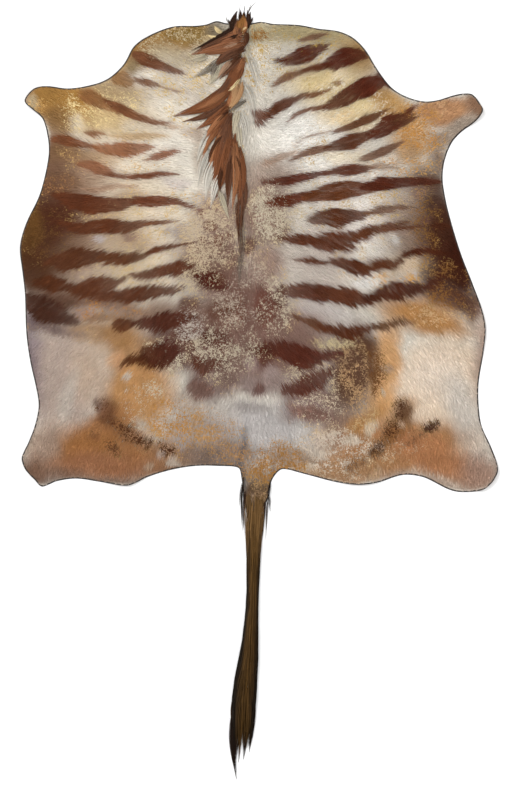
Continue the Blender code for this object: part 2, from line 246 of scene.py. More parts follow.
# %% Height of the skin above the floor
SKIN = 2.0 * MM
COAT = 3.0 * MM
Ripple = namedtuple("Ripple", "x y degrees along across height")
RIPPLES = [
    Ripple(-676, 452, 155, 95, 62, 12),
    Ripple(680, 424, 18, 105, 58, 14),
    Ripple(590, 404, 12, 110, 24, 5),
    Ripple(-694, -662, 50, 95, 80, 11),
    Ripple(716, -694, -48, 105, 85, 12),
    Ripple(-706, 10, 92, 150, 46, 6),
    Ripple(692, -236, 97, 160, 42, 6),
    Ripple(-648, -470, 84, 130, 40, 4),
    Ripple(-352, 622, 48, 115, 44, 5),
    Ripple(346, 580, -56, 120, 44, 5),
    Ripple(-33, -580, 94, 100, 17, 6),
    Ripple(39, -652, 88, 62, 14, 5),
    Ripple(-386, -702, 4, 105, 36, 5),
    Ripple(316, -702, -4, 115, 36, 5),
]


def lift(x, y):
    """How far the flesh side stands off the floor."""
    height = np.zeros(np.shape(x))
    for r in RIPPLES:
        turn = math.radians(r.degrees)
        dx, dy = x / MM - r.x, y / MM - r.y
        u = (dx * math.cos(turn) + dy * math.sin(turn)) / r.along
        v = (dy * math.cos(turn) - dx * math.sin(turn)) / r.across
        height += r.height * MM * np.clip(1 - u * u - v * v, 0, 1) ** 2
    return height


def grain(x, y):
    """Fine unevenness of the hair side."""
    near_edge = 1 - ease(0.02, 0.11, room(x, y))
    fine = 0.5 * rough_noise(x, y, 0.05, 5)
    broad = (0.5 + near_edge) * rough_noise(x, y, 0.11, 9)
    return MM * (fine + broad + 0.6)


def skin_top(x, y):
    """Height of the hair side."""
    return lift(x, y) + SKIN + np.maximum(grain(x, y), 0)


def coat_top(x, y):
    """Height of the top of the short coat, which the long hair lies on."""
    return skin_top(x, y) + COAT


print("highest ripple:", max(r.height for r in RIPPLES), "mm")

# %% [markdown]
# ## Colour of the coat
#
# Under the stripes the coat shades from one colour to the next without a line: tan on the neck and fore
# legs, cream on the shoulders, brown on the flanks, purple-brown down the back, white on the rump, pale and
# then orange-brown on the hind legs. Each shade is one row of a table: a soft ellipse on the chart, its
# edge broken up with noise. Rows are laid over one another in order. A few rows are painted shade, not the
# coat's colour: beside the nape tuft and the mane, and in the crease above the tail.

# %% Table of shades
Shade = namedtuple("Shade", "column row across down tilt colour strength soft")
BASE_COLOUR = "d2cbbf"
SHADES = [
    # neck and shoulders
    Shade(165, 40, 62, 22, -10, "8c6930", 0.95, 0.6),
    Shade(140, 54, 24, 22, 0, "8a6538", 0.8, 0.6),
    Shade(198, 33, 34, 12, 0, "7d622c", 0.85, 0.6),
    # Painted shadow of the nape tuft on the skin either side of it.
    Shade(222, 28, 14, 8, 0, "6e6250", 0.85, 0.7),
    Shade(253, 30, 10, 12, 0, "928a70", 0.8, 0.7),
    # Grey beside the mane: painted shade of the mane, with its dark wisps.
    Shade(204, 96, 12, 24, 20, "a29484", 0.6, 0.8),
    Shade(203, 152, 10, 30, 0, "a5927f", 0.6, 0.8),
    Shade(178, 58, 34, 14, 0, "aa9c82", 0.7, 0.7),
    Shade(188, 86, 30, 26, 0, "bbb1a4", 0.8, 0.7),
    Shade(100, 114, 66, 30, 10, "b89c68", 0.85, 0.7),
    Shade(120, 68, 18, 12, -40, "a88a5c", 0.85, 0.6),
    Shade(140, 65, 16, 11, -30, "83704f", 0.8, 0.7),
    Shade(198, 58, 20, 9, 0, "9b8c79", 0.7, 0.7),
    Shade(196, 134, 14, 9, 0, "a39080", 0.7, 0.7),
    Shade(138, 127, 18, 10, 0, "c9bca8", 0.75, 0.7),
    Shade(118, 90, 46, 17, 10, "997f58", 0.8, 0.7),
    Shade(62, 104, 46, 26, 8, "9c7338", 0.95, 0.5),
    Shade(46, 96, 26, 12, 0, "8e6a38", 0.8, 0.6),
    Shade(81, 125, 9, 7, 0, "cfc3ac", 0.8, 0.5),
    Shade(34, 104, 9, 7, 50, "ab9a7c", 0.9, 0.5),
    Shade(62, 124, 20, 20, 10, "7c5d3b", 0.85, 0.6),
    Shade(56, 158, 26, 26, 0, "674530", 0.9, 0.6),
    Shade(96, 158, 40, 14, 0, "ad8c62", 0.75, 0.7),
    Shade(90, 176, 40, 16, 0, "927358", 0.75, 0.7),
    Shade(68, 152, 34, 16, 0, "765737", 0.8, 0.7),
    Shade(62, 184, 38, 16, 0, "6a4a35", 0.85, 0.7),
    Shade(305, 34, 76, 18, 6, "ab9b72", 0.9, 0.7),
    Shade(356, 56, 28, 26, 30, "a47f44", 0.85, 0.7),
    Shade(304, 142, 50, 42, 10, "efebe4", 0.95, 0.7),
    Shade(338, 94, 66, 30, 22, "d9c38f", 0.85, 0.7),
    Shade(342, 122, 34, 14, 14, "e2c898", 0.7, 0.7),
    Shade(346, 158, 36, 12, 10, "e2d2b0", 0.65, 0.7),
    Shade(380, 98, 26, 12, 35, "a47a3e", 0.85, 0.7),
    Shade(396, 116, 30, 18, 20, "c79c5e", 0.85, 0.7),
    Shade(405, 136, 26, 22, 20, "c4a27a", 0.75, 0.7),
    Shade(404, 152, 26, 18, 0, "b0895c", 0.8, 0.7),
    # right fore leg
    Shade(440, 112, 34, 16, 0, "b0825a", 0.95, 0.5),
    Shade(474, 108, 15, 15, 0, "87644a", 0.95, 0.5),
    Shade(452, 132, 30, 12, -28, "a59484", 0.95, 0.5),
    Shade(434, 148, 14, 22, 0, "9c8878", 0.9, 0.6),
    Shade(438, 164, 14, 10, 0, "846e5f", 0.8, 0.7),
    # flanks
    Shade(140, 235, 58, 82, 0, "cdbb9f", 0.75, 0.7),
    Shade(66, 232, 62, 88, 0, "93735a", 0.9, 0.8),
    Shade(46, 228, 46, 76, 6, "4d2d1b", 0.95, 0.8),
    Shade(66, 216, 30, 24, 0, "4e2b1c", 0.9, 0.7),
    Shade(31, 226, 14, 44, 8, "60411f", 0.9, 0.6),
    Shade(36, 268, 24, 32, 0, "50301c", 0.9, 0.6),
    Shade(96, 298, 66, 14, 6, "765440", 0.85, 0.7),
    Shade(150, 312, 48, 12, 0, "86654f", 0.8, 0.7),
    Shade(48, 314, 34, 9, 12, "59423a", 0.9, 0.7),
    Shade(352, 210, 56, 62, 0, "ebe4dc", 0.85, 0.7),
    Shade(142, 240, 30, 13, 0, "a78d72", 0.75, 0.7),
    Shade(168, 238, 20, 56, 0, "d8ccbc", 0.65, 0.7),
    Shade(64, 298, 24, 9, 10, "55392b", 0.8, 0.7),
    Shade(132, 196, 20, 8, 0, "a58d76", 0.7, 0.7),
    Shade(358, 277, 50, 14, 0, "dbd0c3", 0.7, 0.7),
    Shade(184, 232, 8, 8, 0, "a99c96", 0.85, 0.3),
    Shade(173, 229, 4, 4, 0, "b0a39c", 0.8, 0.3),
    Shade(134, 237, 7, 4, 0, "8f7466", 0.8, 0.4),
    Shade(104, 236, 8, 4, 0, "bab1b0", 0.8, 0.4),
    Shade(180, 183, 14, 7, 0, "c6bcb5", 0.8, 0.4),
    Shade(416, 232, 44, 68, -8, "7f624e", 0.85, 0.8),
    Shade(426, 182, 30, 16, 0, "6a5040", 0.85, 0.7),
    Shade(400, 262, 30, 14, -10, "d0bba0", 0.8, 0.7),
    Shade(444, 240, 32, 70, -14, "472617", 0.97, 0.6),
    Shade(456, 262, 26, 40, -16, "3e1c10", 0.95, 0.6),
    Shade(448, 296, 40, 14, 14, "55301e", 0.9, 0.6),
    Shade(474, 303, 11, 18, 12, "6a4a3a", 0.85, 0.6),
    Shade(414, 193, 8, 7, 0, "866b5f", 0.7, 0.4),
    Shade(430, 202, 9, 8, 0, "5a3a2f", 0.7, 0.4),
    Shade(421, 215, 7, 5, 0, "6b4c40", 0.7, 0.4),
    Shade(391, 237, 5, 5, 0, "cfcac5", 0.8, 0.3),
    Shade(402, 281, 8, 3, -30, "c2bbba", 0.85, 0.3),
    Shade(411, 272, 6, 3, -45, "c5bebc", 0.85, 0.3),
    # back
    Shade(314, 262, 40, 60, 0, "beb2a8", 0.85, 0.7),
    Shade(322, 310, 42, 14, 12, "c4bbb6", 0.8, 0.7),
    Shade(364, 280, 16, 7, 0, "dbd7d2", 0.85, 0.6),
    Shade(264, 172, 34, 24, 0, "a08a7b", 0.8, 0.7),
    Shade(222, 216, 30, 34, 0, "8d7060", 0.85, 0.7),
    Shade(262, 208, 28, 34, 0, "7d5b4b", 0.85, 0.6),
    Shade(214, 262, 42, 40, 8, "6b4738", 0.9, 0.6),
    Shade(246, 304, 46, 42, 0, "6f4b3f", 0.92, 0.6),
    Shade(200, 316, 44, 26, 0, "6a4738", 0.85, 0.6),
    Shade(262, 340, 84, 44, 0, "7b5d52", 0.95, 0.5),
    Shade(176, 344, 42, 28, 0, "5a3226", 0.92, 0.6),
    Shade(214, 372, 30, 26, 0, "7a5f56", 0.85, 0.6),
    Shade(353, 364, 34, 50, 14, "58362a", 0.93, 0.6),
    Shade(310, 398, 38, 20, 14, "75564c", 0.9, 0.6),
    Shade(262, 378, 40, 14, 0, "8b7670", 0.8, 0.7),
    Shade(264, 262, 24, 30, 0, "8d7265", 0.9, 0.7),
    # blots of dark hair along the back
    Shade(211, 224, 7, 6, 0, "67402f", 0.9, 0.25),
    Shade(216, 207, 5, 3, 20, "6e4839", 0.85, 0.3),
    Shade(203, 217, 3, 3, 0, "6e4839", 0.85, 0.3),
    Shade(196, 224, 3, 3, 0, "70503f", 0.8, 0.3),
    Shade(203, 239, 4, 5, 0, "67402f", 0.85, 0.3),
    Shade(229, 236, 4, 4, 0, "75503f", 0.8, 0.3),
    Shade(271, 211, 8, 7, 20, "8a6a5b", 0.85, 0.35),
    Shade(198, 360, 5, 6, 0, "4f2b22", 0.85, 0.3),
    Shade(341, 383, 4, 6, 0, "4b322c", 0.85, 0.3),
    Shade(368, 396, 5, 5, 0, "84736f", 0.85, 0.3),
    Shade(219, 240, 6, 8, 0, "714a3c", 0.8, 0.3),
    Shade(204, 212, 7, 4, 20, "70483a", 0.75, 0.4),
    Shade(196, 247, 9, 4, -16, "5c3526", 0.8, 0.4),
    Shade(214, 276, 16, 9, 14, "552c20", 0.9, 0.5),
    Shade(196, 272, 7, 6, 0, "5a3224", 0.85, 0.3),
    Shade(249, 240, 10, 14, 10, "684638", 0.9, 0.4),
    Shade(276, 232, 9, 12, 0, "70503f", 0.75, 0.5),
    Shade(276, 295, 8, 14, 0, "5f3b2f", 0.85, 0.5),
    Shade(262, 300, 12, 24, 0, "6a4035", 0.8, 0.5),
    Shade(236, 306, 12, 18, 0, "6e4a3d", 0.75, 0.5),
    Shade(190, 300, 12, 9, 0, "5e3a2c", 0.8, 0.5),
    Shade(214, 337, 15, 11, 0, "4e281d", 0.85, 0.5),
    Shade(222, 350, 8, 22, -8, "63423a", 0.8, 0.5),
    Shade(200, 378, 10, 8, 0, "5f443e", 0.8, 0.5),
    Shade(258, 352, 16, 10, 10, "5a3328", 0.85, 0.5),
    Shade(268, 366, 12, 7, 0, "a3918a", 0.75, 0.6),
    Shade(259, 381, 8, 8, 0, "68463d", 0.8, 0.35),
    Shade(296, 408, 22, 8, 16, "674840", 0.85, 0.6),
    # rump
    Shade(262, 424, 66, 34, 0, "bcb6b3", 0.95, 0.7),
    Shade(200, 430, 44, 36, 10, "a3948a", 0.92, 0.7),
    Shade(186, 398, 26, 16, 20, "b3a496", 0.85, 0.7),
    Shade(176, 452, 46, 18, 0, "96785f", 0.8, 0.7),
    Shade(222, 454, 46, 20, 0, "766359", 0.85, 0.7),
    Shade(230, 469, 22, 9, 0, "6d6560", 0.9, 0.7),
    Shade(166, 468, 22, 10, 0, "6e5f51", 0.9, 0.7),
    Shade(250, 402, 26, 8, 0, "958c88", 0.75, 0.7),
    Shade(208, 384, 26, 18, 0, "84716a", 0.8, 0.6),
    Shade(228, 370, 14, 26, 0, "786056", 0.7, 0.6),
    # left hind leg
    Shade(136, 386, 40, 52, 12, "b88a58", 0.97, 0.5),
    Shade(122, 336, 32, 22, 0, "a0733f", 0.9, 0.7),
    Shade(60, 374, 52, 60, 0, "b3a195", 0.98, 0.45),
    Shade(92, 330, 30, 10, 6, "9a7650", 0.85, 0.7),
    Shade(46, 325, 34, 7, 10, "6a5652", 0.9, 0.6),
    Shade(90, 366, 22, 40, 0, "c4ad97", 0.75, 0.8),
    Shade(28, 350, 18, 62, -6, "85757a", 0.85, 0.8),
    Shade(66, 398, 9, 42, 20, "c0b6ab", 0.7, 0.8),
    Shade(100, 428, 46, 22, -36, "9a6a42", 0.95, 0.5),
    Shade(104, 450, 84, 36, 8, "9c6b40", 0.97, 0.6),
    Shade(96, 462, 76, 18, 6, "996a4c", 0.8, 0.7),
    Shade(46, 438, 18, 22, 20, "a08a7a", 0.75, 0.7),
    Shade(34, 470, 26, 22, 0, "76543f", 0.92, 0.7),
    Shade(96, 482, 66, 8, 0, "745a4b", 0.8, 0.7),
    Shade(62, 469, 24, 12, 0, "7b5f4e", 0.75, 0.7),
    # right hind leg
    Shade(422, 314, 58, 20, 16, "ad7b43", 0.95, 0.6),
    Shade(384, 370, 18, 64, 4, "ca9e6e", 0.97, 0.5),
    Shade(396, 442, 92, 36, -8, "a87a50", 0.97, 0.5),
    Shade(441, 378, 52, 50, 0, "d9c6b0", 0.98, 0.4),
    Shade(432, 372, 34, 34, 0, "decfbf", 0.8, 0.8),
    Shade(462, 402, 24, 44, -24, "c6beb5", 0.85, 0.8),
    Shade(482, 350, 14, 56, 0, "ab9182", 0.85, 0.8),
    Shade(430, 452, 66, 20, 26, "a97650", 0.97, 0.6),
    Shade(480, 468, 26, 24, 0, "9c7c6a", 0.9, 0.7),
    Shade(420, 480, 44, 9, 6, "96745c", 0.75, 0.7),
    Shade(334, 466, 56, 18, 0, "a07a56", 0.92, 0.6),
    Shade(338, 424, 34, 20, -24, "93735c", 0.85, 0.7),
    Shade(312, 414, 34, 10, 8, "7d635a", 0.85, 0.6),
    Shade(286, 452, 30, 14, 0, "8f7762", 0.8, 0.7),
    Shade(350, 376, 22, 42, 14, "5f4231", 0.82, 0.6),
    Shade(364, 344, 12, 14, 0, "5a3c28", 0.8, 0.6),
    Shade(364, 414, 26, 11, -40, "ad7e48", 0.85, 0.6),
    Shade(398, 414, 14, 14, 0, "85603c", 0.8, 0.7),
    Shade(374, 444, 26, 9, -40, "86633f", 0.75, 0.8),
    Shade(109, 407, 13, 16, -10, "6d4730", 0.82, 0.6),
    Shade(126, 373, 5, 4, 30, "c0b5a8", 0.85, 0.25),
    Shade(127, 388, 3, 3, 0, "c3b6a6", 0.85, 0.25),
    Shade(144, 422, 8, 6, 20, "b2a698", 0.85, 0.3),
    Shade(160, 433, 10, 6, 40, "b2a69a", 0.85, 0.3),
    Shade(186, 438, 9, 8, 0, "a69c98", 0.8, 0.3),
    Shade(175, 459, 8, 7, 20, "b0a294", 0.85, 0.3),
    Shade(152, 465, 5, 4, 0, "b09880", 0.8, 0.3),
    Shade(369, 421, 7, 7, 0, "c9b79f", 0.85, 0.3),
    Shade(351, 434, 10, 6, -20, "c6b8a6", 0.85, 0.3),
    Shade(315, 450, 9, 5, 10, "c4b8a9", 0.8, 0.3),
    Shade(304, 464, 8, 5, 0, "b9aa98", 0.8, 0.3),
    Shade(373, 469, 5, 7, 0, "b8997a", 0.8, 0.3),
    Shade(382, 388, 3, 3, 0, "bcb0a0", 0.85, 0.3),
    Shade(379, 363, 7, 5, 0, "9d8878", 0.8, 0.35),
    Shade(88, 314, 22, 8, 10, "94786a", 0.8, 0.6),
    Shade(402, 400, 14, 11, 0, "a8773f", 0.6, 0.7),
    Shade(164, 300, 18, 8, 0, "7d5e49", 0.55, 0.7),
    Shade(266, 230, 13, 18, 0, "7a6050", 0.65, 0.7),
    Shade(368, 262, 20, 7, 0, "8a7060", 0.5, 0.7),
    Shade(436, 274, 20, 20, 10, "41261a", 0.75, 0.7),
    Shade(430, 201, 16, 11, 0, "4c372c", 0.65, 0.7),
    Shade(222, 306, 17, 16, 0, "56301f", 0.6, 0.7),
    Shade(222, 346, 13, 18, 0, "664438", 0.4, 0.7),
    Shade(249, 358, 9, 8, 0, "a8958f", 0.55, 0.6),
    Shade(108, 211, 26, 12, 0, "b09678", 0.55, 0.7),
    Shade(119, 356, 12, 9, 0, "c9976a", 0.6, 0.7),
    Shade(99, 400, 5, 6, 0, "6c5245", 0.65, 0.5),
    Shade(95, 429, 7, 4, 35, "6f4931", 0.7, 0.6),
    Shade(126, 427, 24, 11, 38, "8a5f3c", 0.6, 0.7),
    Shade(400, 406, 9, 11, 15, "5c3b26", 0.8, 0.6),
    Shade(390, 429, 11, 14, 20, "85572f", 0.6, 0.7),
    Shade(428, 422, 8, 4.5, -12, "472c21", 0.9, 0.6),
    Shade(414, 434, 14, 3, -38, "7d5238", 0.6, 0.7),
    Shade(376, 440, 5, 5, 0, "c2ad98", 0.85, 0.3),
    Shade(396, 419, 5, 4, 10, "bfa389", 0.8, 0.35),
    Shade(139, 417, 4, 4, 0, "b8a08a", 0.85, 0.3),
    Shade(153, 426, 9, 5, 20, "b39d88", 0.8, 0.4),
    Shade(161, 453, 5, 5, 20, "ab9a8e", 0.85, 0.3),
    # tail, and painted shade in its crease
    Shade(260, 475, 30, 12, 0, "7d6a58", 0.85, 0.7),
    Shade(256, 500, 24, 26, 0, "7f6550", 0.97, 0.4),
    Shade(257, 520, 18, 40, 0, "6e5130", 0.95, 0.4),
    Shade(256, 570, 12, 60, 0, "4a3520", 0.97, 0.4),
    # Painted shade: dark grey lines in the crease that runs up from the tail root.
    Shade(243, 448, 5, 30, 4, "625f62", 0.85, 0.9),
    Shade(271, 468, 3, 12, 0, "6a6a70", 0.8, 0.9),
    Shade(243, 472, 6, 14, 0, "55565a", 0.8, 0.9),
    Shade(259, 484, 15, 8, 0, "5c4735", 0.75, 0.6),
    Shade(255, 499, 6, 11, 0, "94806f", 0.7, 0.6),
]
print("shades:", len(SHADES))

# %% Ground colour from the shades
WANDER = 14 * MM


def ellipse(row, x, y):
    """1 in the middle of a table row's ellipse, falling to 0 past its edge."""
    cx, cy = place((row.column, row.row))[0]
    turn = math.radians(-row.tilt)
    dx, dy = x - cx, y - cy
    u = (dx * math.cos(turn) + dy * math.sin(turn)) / (row.across * SQUARE)
    v = (dy * math.cos(turn) - dx * math.sin(turn)) / (row.down * SQUARE)
    return 1 - ease(1 - row.soft, 1 + 0.35 * row.soft, np.sqrt(u * u + v * v))


def ground_colour(x, y):
    """The coat's colour without its stripes. The places wander a little, so no shade keeps a smooth edge."""
    wx = x + WANDER * rough_noise(x, y, 0.07, 21)
    wy = y + WANDER * rough_noise(x, y, 0.07, 31)
    found = np.tile(colour(BASE_COLOUR), (len(x), 1))
    for row in SHADES:
        share = (row.strength * ellipse(row, wx, wy))[:, None]
        found = found * (1 - share) + colour(row.colour) * share
    return found


middle_tone = ground_colour(np.zeros(1), np.zeros(1))[0]
print("ground colour in the middle of the back:", middle_tone.round(3))

# %% [markdown]
# ## Stripes
#
# Each stripe follows a spline and swells and thins along it. Its edge isn't drawn with a line: the dark
# hairs lie across it, so it frays along the lie of the coat. To get that, a place is first pushed back
# along the lie by noise that is itself drawn out into streaks, a few hairs wide, and only then compared
# with the stripe.

# %% Table of stripes
Stripe = namedtuple("Stripe", "colour thick fattest strength ragged path")
STRIPES = [
    # left side, from the neck down
    Stripe("64402e", 14, 0.35, 1.0, 9, [(132, 53), (143, 58), (154, 63), (166, 68), (176, 72), (189, 75)]),
    Stripe("80603f", 17, 0.5, 0.9, 12, [(111, 76), (123, 79), (138, 86)]),
    Stripe("6b4a35", 9, 0.5, 0.95, 9, [(138, 80), (150, 84), (164, 87)]),
    Stripe("7a5c44", 4, 0.4, 0.7, 6, [(161, 87), (176, 92), (192, 93)]),
    Stripe("7f5a3c", 16, 0.2, 0.95, 8, [(82, 93), (95, 100), (106, 105), (119, 111), (133, 115)]),
    Stripe(
        "6e4833", 10, 0.3, 1.0, 8, [(106, 101), (120, 108), (133, 115), (147, 120), (161, 124), (178, 124)]
    ),
    Stripe("8a6d54", 5, 0.5, 0.6, 6, [(167, 126), (176, 129), (190, 127)]),
    Stripe("7b5236", 8, 0.4, 0.9, 8, [(87, 134), (97, 136), (109, 135)]),
    Stripe("a8906e", 7, 0.5, 0.75, 9, [(112, 137), (135, 138), (152, 137), (175, 137)]),
    Stripe("6f4630", 10, 0.4, 1.0, 9, [(51, 140), (70, 141), (86, 146), (103, 149)]),
    Stripe("85593e", 15, 0.55, 0.95, 15, [(96, 149), (116, 151), (133, 151), (157, 147)]),
    Stripe("7e5541", 8, 0.6, 0.95, 10, [(147, 161), (163, 156), (185, 151)]),
    Stripe("80553f", 11, 0.6, 0.9, 9, [(77, 164), (93, 166), (106, 171), (120, 176)]),
    Stripe("6a4231", 7, 0.6, 1.0, 9, [(110, 175), (133, 177), (150, 176), (166, 174), (181, 174)]),
    Stripe("8a6a55", 7, 0.4, 0.6, 9, [(86, 189), (102, 190), (116, 187), (145, 186)]),
    Stripe(
        "5c3422", 19, 0.35, 1.0, 9, [(56, 193), (75, 200), (100, 204), (122, 204), (142, 200), (156, 200)]
    ),
    Stripe("643b2a", 11, 0.3, 1.0, 9, [(134, 202), (156, 201), (172, 200), (184, 202), (202, 208)]),
    Stripe(
        "5c3523", 16, 0.5, 1.0, 16,
        [(60, 219), (83, 227), (100, 225), (116, 224), (133, 225), (149, 222), (158, 221)],
    ),
    Stripe("6a4633", 5, 0.3, 0.95, 8, [(148, 222), (163, 221), (184, 219)]),
    Stripe("573524", 21, 0.4, 1.0, 26, [(48, 261), (66, 259), (83, 255), (100, 254), (118, 255)]),
    Stripe("5f3c29", 15, 0.4, 1.0, 22, [(100, 255), (124, 256), (141, 253), (160, 249)]),
    Stripe("5e3a2a", 7, 0.2, 1.0, 9, [(148, 251), (166, 246), (182, 243), (201, 240)]),
    Stripe(
        "5c3626", 14, 0.75, 1.0, 14,
        [(130, 272), (146, 272), (160, 269), (174, 267), (185, 264), (198, 264)],
    ),
    Stripe("52301f", 17, 0.3, 1.0, 14, [(35, 279), (52, 280), (70, 284), (87, 288), (96, 291)]),
    Stripe("5a3625", 21, 0.4, 1.0, 24, [(72, 290), (94, 285), (112, 281), (130, 275)]),
    Stripe(
        "5a3626", 17, 0.5, 1.0, 24, [(92, 295), (116, 293), (134, 292), (150, 289), (166, 288), (188, 285)]
    ),
    Stripe("462a20", 29, 0.35, 1.0, 8, [(22, 296), (42, 304), (60, 311), (84, 320)]),
    Stripe("8a6c50", 9, 0.5, 0.75, 14, [(84, 318), (103, 315), (124, 315)]),
    Stripe("5c3826", 15, 0.4, 1.0, 14, [(113, 324), (129, 321), (141, 318)]),
    Stripe("502c22", 19, 0.5, 1.0, 22, [(133, 320), (158, 320), (182, 315), (200, 313)]),
    Stripe("54321f", 11, 0.4, 1.0, 18, [(121, 363), (135, 356), (150, 359), (168, 366)]),
    Stripe("482219", 26, 0.5, 0.95, 24, [(142, 347), (162, 351), (182, 343)]),
    # right side, from the neck down
    Stripe("75584a", 7, 0.5, 0.95, 5, [(293, 42), (309, 38), (325, 33)]),
    Stripe("603c2f", 7, 0.3, 0.95, 6, [(269, 60), (278, 62), (287, 60)]),
    Stripe("54291c", 19, 0.5, 1.0, 12, [(275, 64), (289, 60), (301, 56), (313, 51), (326, 46)]),
    Stripe("74533f", 9, 0.4, 0.95, 8, [(267, 86.5), (278, 81.5), (290, 76.5), (302, 72.5), (312, 70.5)]),
    Stripe("5c3322", 9, 0.5, 1.0, 10, [(296, 73), (308, 70), (320, 68), (332, 64)]),
    Stripe("52251a", 22, 0.45, 1.0, 14, [(318, 69), (330, 64), (342, 58), (354, 56), (369, 56)]),
    Stripe(
        "5f3929", 12, 0.35, 1.0, 16,
        [(252, 119.5), (260, 115.5), (270, 109.5), (283, 104.5), (294, 99.5), (306, 95.5)],
    ),
    Stripe("5f3929", 9, 0.4, 0.9, 10, [(250, 106), (257, 111), (267, 114)]),
    Stripe("6a432f", 5, 0.4, 0.95, 8, [(298, 99), (316, 95), (329, 90)]),
    Stripe("7c5a40", 5, 0.5, 0.9, 3, [(328, 85), (334, 85), (340, 84)]),
    Stripe("6f4a38", 5, 0.7, 0.95, 6, [(283, 124), (290, 117), (301, 112), (315, 109), (328, 107)]),
    Stripe("54271b", 22, 0.6, 1.0, 20, [(318, 110), (334, 103), (348, 96), (360, 90), (374, 84), (393, 85)]),
    Stripe("4d2518", 11, 0.5, 0.9, 4, [(370, 84), (378, 77), (386, 83), (393, 90)]),
    Stripe("8a6c58", 2, 0.6, 0.9, 2, [(289, 147), (301, 138), (315, 134), (331, 131)]),
    Stripe("62402e", 9, 0.55, 1.0, 12, [(328, 134), (344, 128), (361, 122), (376, 115), (386, 110)]),
    Stripe("73503c", 9, 0.6, 0.95, 9, [(284, 162), (298, 155), (315, 150), (330, 146)]),
    Stripe("5f3927", 16, 0.5, 1.0, 18, [(318, 149), (332, 146), (347, 142), (363, 136), (378, 131)]),
    Stripe("562d20", 19, 0.5, 1.0, 16, [(362, 137), (376, 132), (389, 123), (401, 121), (413, 118)]),
    Stripe("5c3424", 7, 0.3, 1.0, 4, [(399, 118), (406, 112), (413, 105)]),
    Stripe("9a8070", 8, 0.5, 0.7, 9, [(258, 162), (277, 157), (297, 151)]),
    Stripe("705040", 10, 0.5, 0.95, 14, [(354, 160), (372, 155), (386, 149), (401, 143)]),
    Stripe("5c3024", 11, 0.4, 1.0, 14, [(258, 178), (281, 180), (298, 177), (318, 173), (330, 171)]),
    Stripe("62392b", 12, 0.5, 1.0, 18, [(318, 174), (334, 171), (350, 170), (372, 167)]),
    Stripe("8c7262", 7, 0.4, 0.7, 12, [(362, 167), (378, 167), (397, 168)]),
    Stripe("5c2e1e", 13, 0.4, 1.0, 14, [(260, 200), (285, 199), (302, 195), (320, 192)]),
    Stripe("643a22", 19, 0.4, 1.0, 18, [(296, 198), (322, 193), (346, 189), (368, 187), (388, 185)]),
    Stripe("52281b", 13, 0.25, 1.0, 12, [(354, 188), (372, 184), (392, 182), (414, 181), (444, 181)]),
    Stripe("58321f", 19, 0.45, 1.0, 22, [(301, 218), (322, 216), (339, 216), (353, 214), (370, 211)]),
    Stripe("6f4f3c", 9, 0.3, 0.9, 14, [(360, 213), (370, 210), (382, 208), (397, 206), (412, 206)]),
    Stripe("5a3322", 11, 0.5, 1.0, 14, [(274, 236), (293, 237), (309, 238), (322, 240)]),
    Stripe("5a3322", 22, 0.45, 1.0, 26, [(304, 238), (320, 240), (334, 240), (349, 236), (366, 229)]),
    Stripe("5f3a28", 11, 0.3, 1.0, 9, [(346, 238), (354, 234), (368, 228), (382, 225), (405, 220)]),
    Stripe("5f3a28", 4, 0.4, 0.95, 5, [(378, 229.5), (392, 227.5), (422, 223.5)]),
    Stripe("4c2a1c", 7, 0.5, 0.9, 6, [(426, 224), (436, 224), (449, 225)]),
    Stripe("5a3424", 7, 0.5, 1.0, 14, [(289, 257), (304, 258), (317, 260), (330, 262)]),
    Stripe("56301f", 15, 0.5, 1.0, 26, [(322, 259), (335, 260), (349, 264), (364, 267), (386, 262)]),
    Stripe("5c3827", 12, 0.45, 1.0, 20, [(358, 267), (368, 264), (380, 261), (392, 260), (402, 253)]),
    Stripe("4c2719", 9, 0.4, 1.0, 10, [(388, 260), (396, 256.5), (405, 251), (420, 248.5), (446, 251)]),
    Stripe("58352a", 19, 0.5, 1.0, 28, [(275, 287), (293, 288), (309, 289), (324, 291), (352, 296)]),
    Stripe("5a3526", 19, 0.5, 1.0, 28, [(312, 289), (332, 292), (348, 295), (362, 297), (382, 292)]),
    Stripe(
        "4c281b", 19, 0.4, 1.0, 20, [(356, 296), (370, 294), (386, 289), (402, 287), (420, 284), (444, 273)]
    ),
    Stripe("61402f", 9, 0.45, 0.95, 24, [(290, 314), (302, 317), (316, 323), (336, 330)]),
    Stripe("56301f", 14, 0.5, 1.0, 22, [(314, 322), (333, 328), (349, 328), (366, 325), (380, 324)]),
    Stripe("5f4230", 10, 0.4, 0.95, 18, [(370, 327), (384, 323), (396, 318), (412, 319)]),
    Stripe(
        "50261b", 24, 0.5, 0.97, 22,
        [(254, 344), (272, 345), (288, 349), (304, 355), (322, 353), (340, 349)],
    ),
    Stripe("54291d", 22, 0.5, 0.95, 22, [(278, 388), (294, 384), (308, 378), (320, 372), (334, 367)]),
    Stripe("7a5c55", 14, 0.5, 0.7, 20, [(284, 402), (304, 408), (332, 414)]),
    Stripe("4a2018", 15, 0.5, 0.9, 12, [(196, 272), (212, 280), (230, 284)]),
    Stripe("5c3a30", 16, 0.5, 0.9, 16, [(192, 352), (204, 362), (224, 358)]),
    Stripe("6d5049", 22, 0.5, 0.75, 12, [(190, 378), (202, 386), (216, 388)]),
]
print("stripes:", len(STRIPES))

# %% Shape of a stripe
STRIPE_STEP = 8 * MM
STRIPE_REACH = 60 * MM
# A trim of red, green and blue that brings the rendered stripes closer to the colours wanted.
RUDDY = np.array([1.05, 0.96, 0.82])


def swell(t, fattest):
    """How thick a stripe is along it, as a share. It rises fast, and tapers more slowly to a blunt end."""
    up = np.clip(t / fattest, 0, 1) ** 0.45
    down = np.clip((1 - t) / (1 - fattest), 0, 1) ** 0.6
    return np.where(t < fattest, up, down)


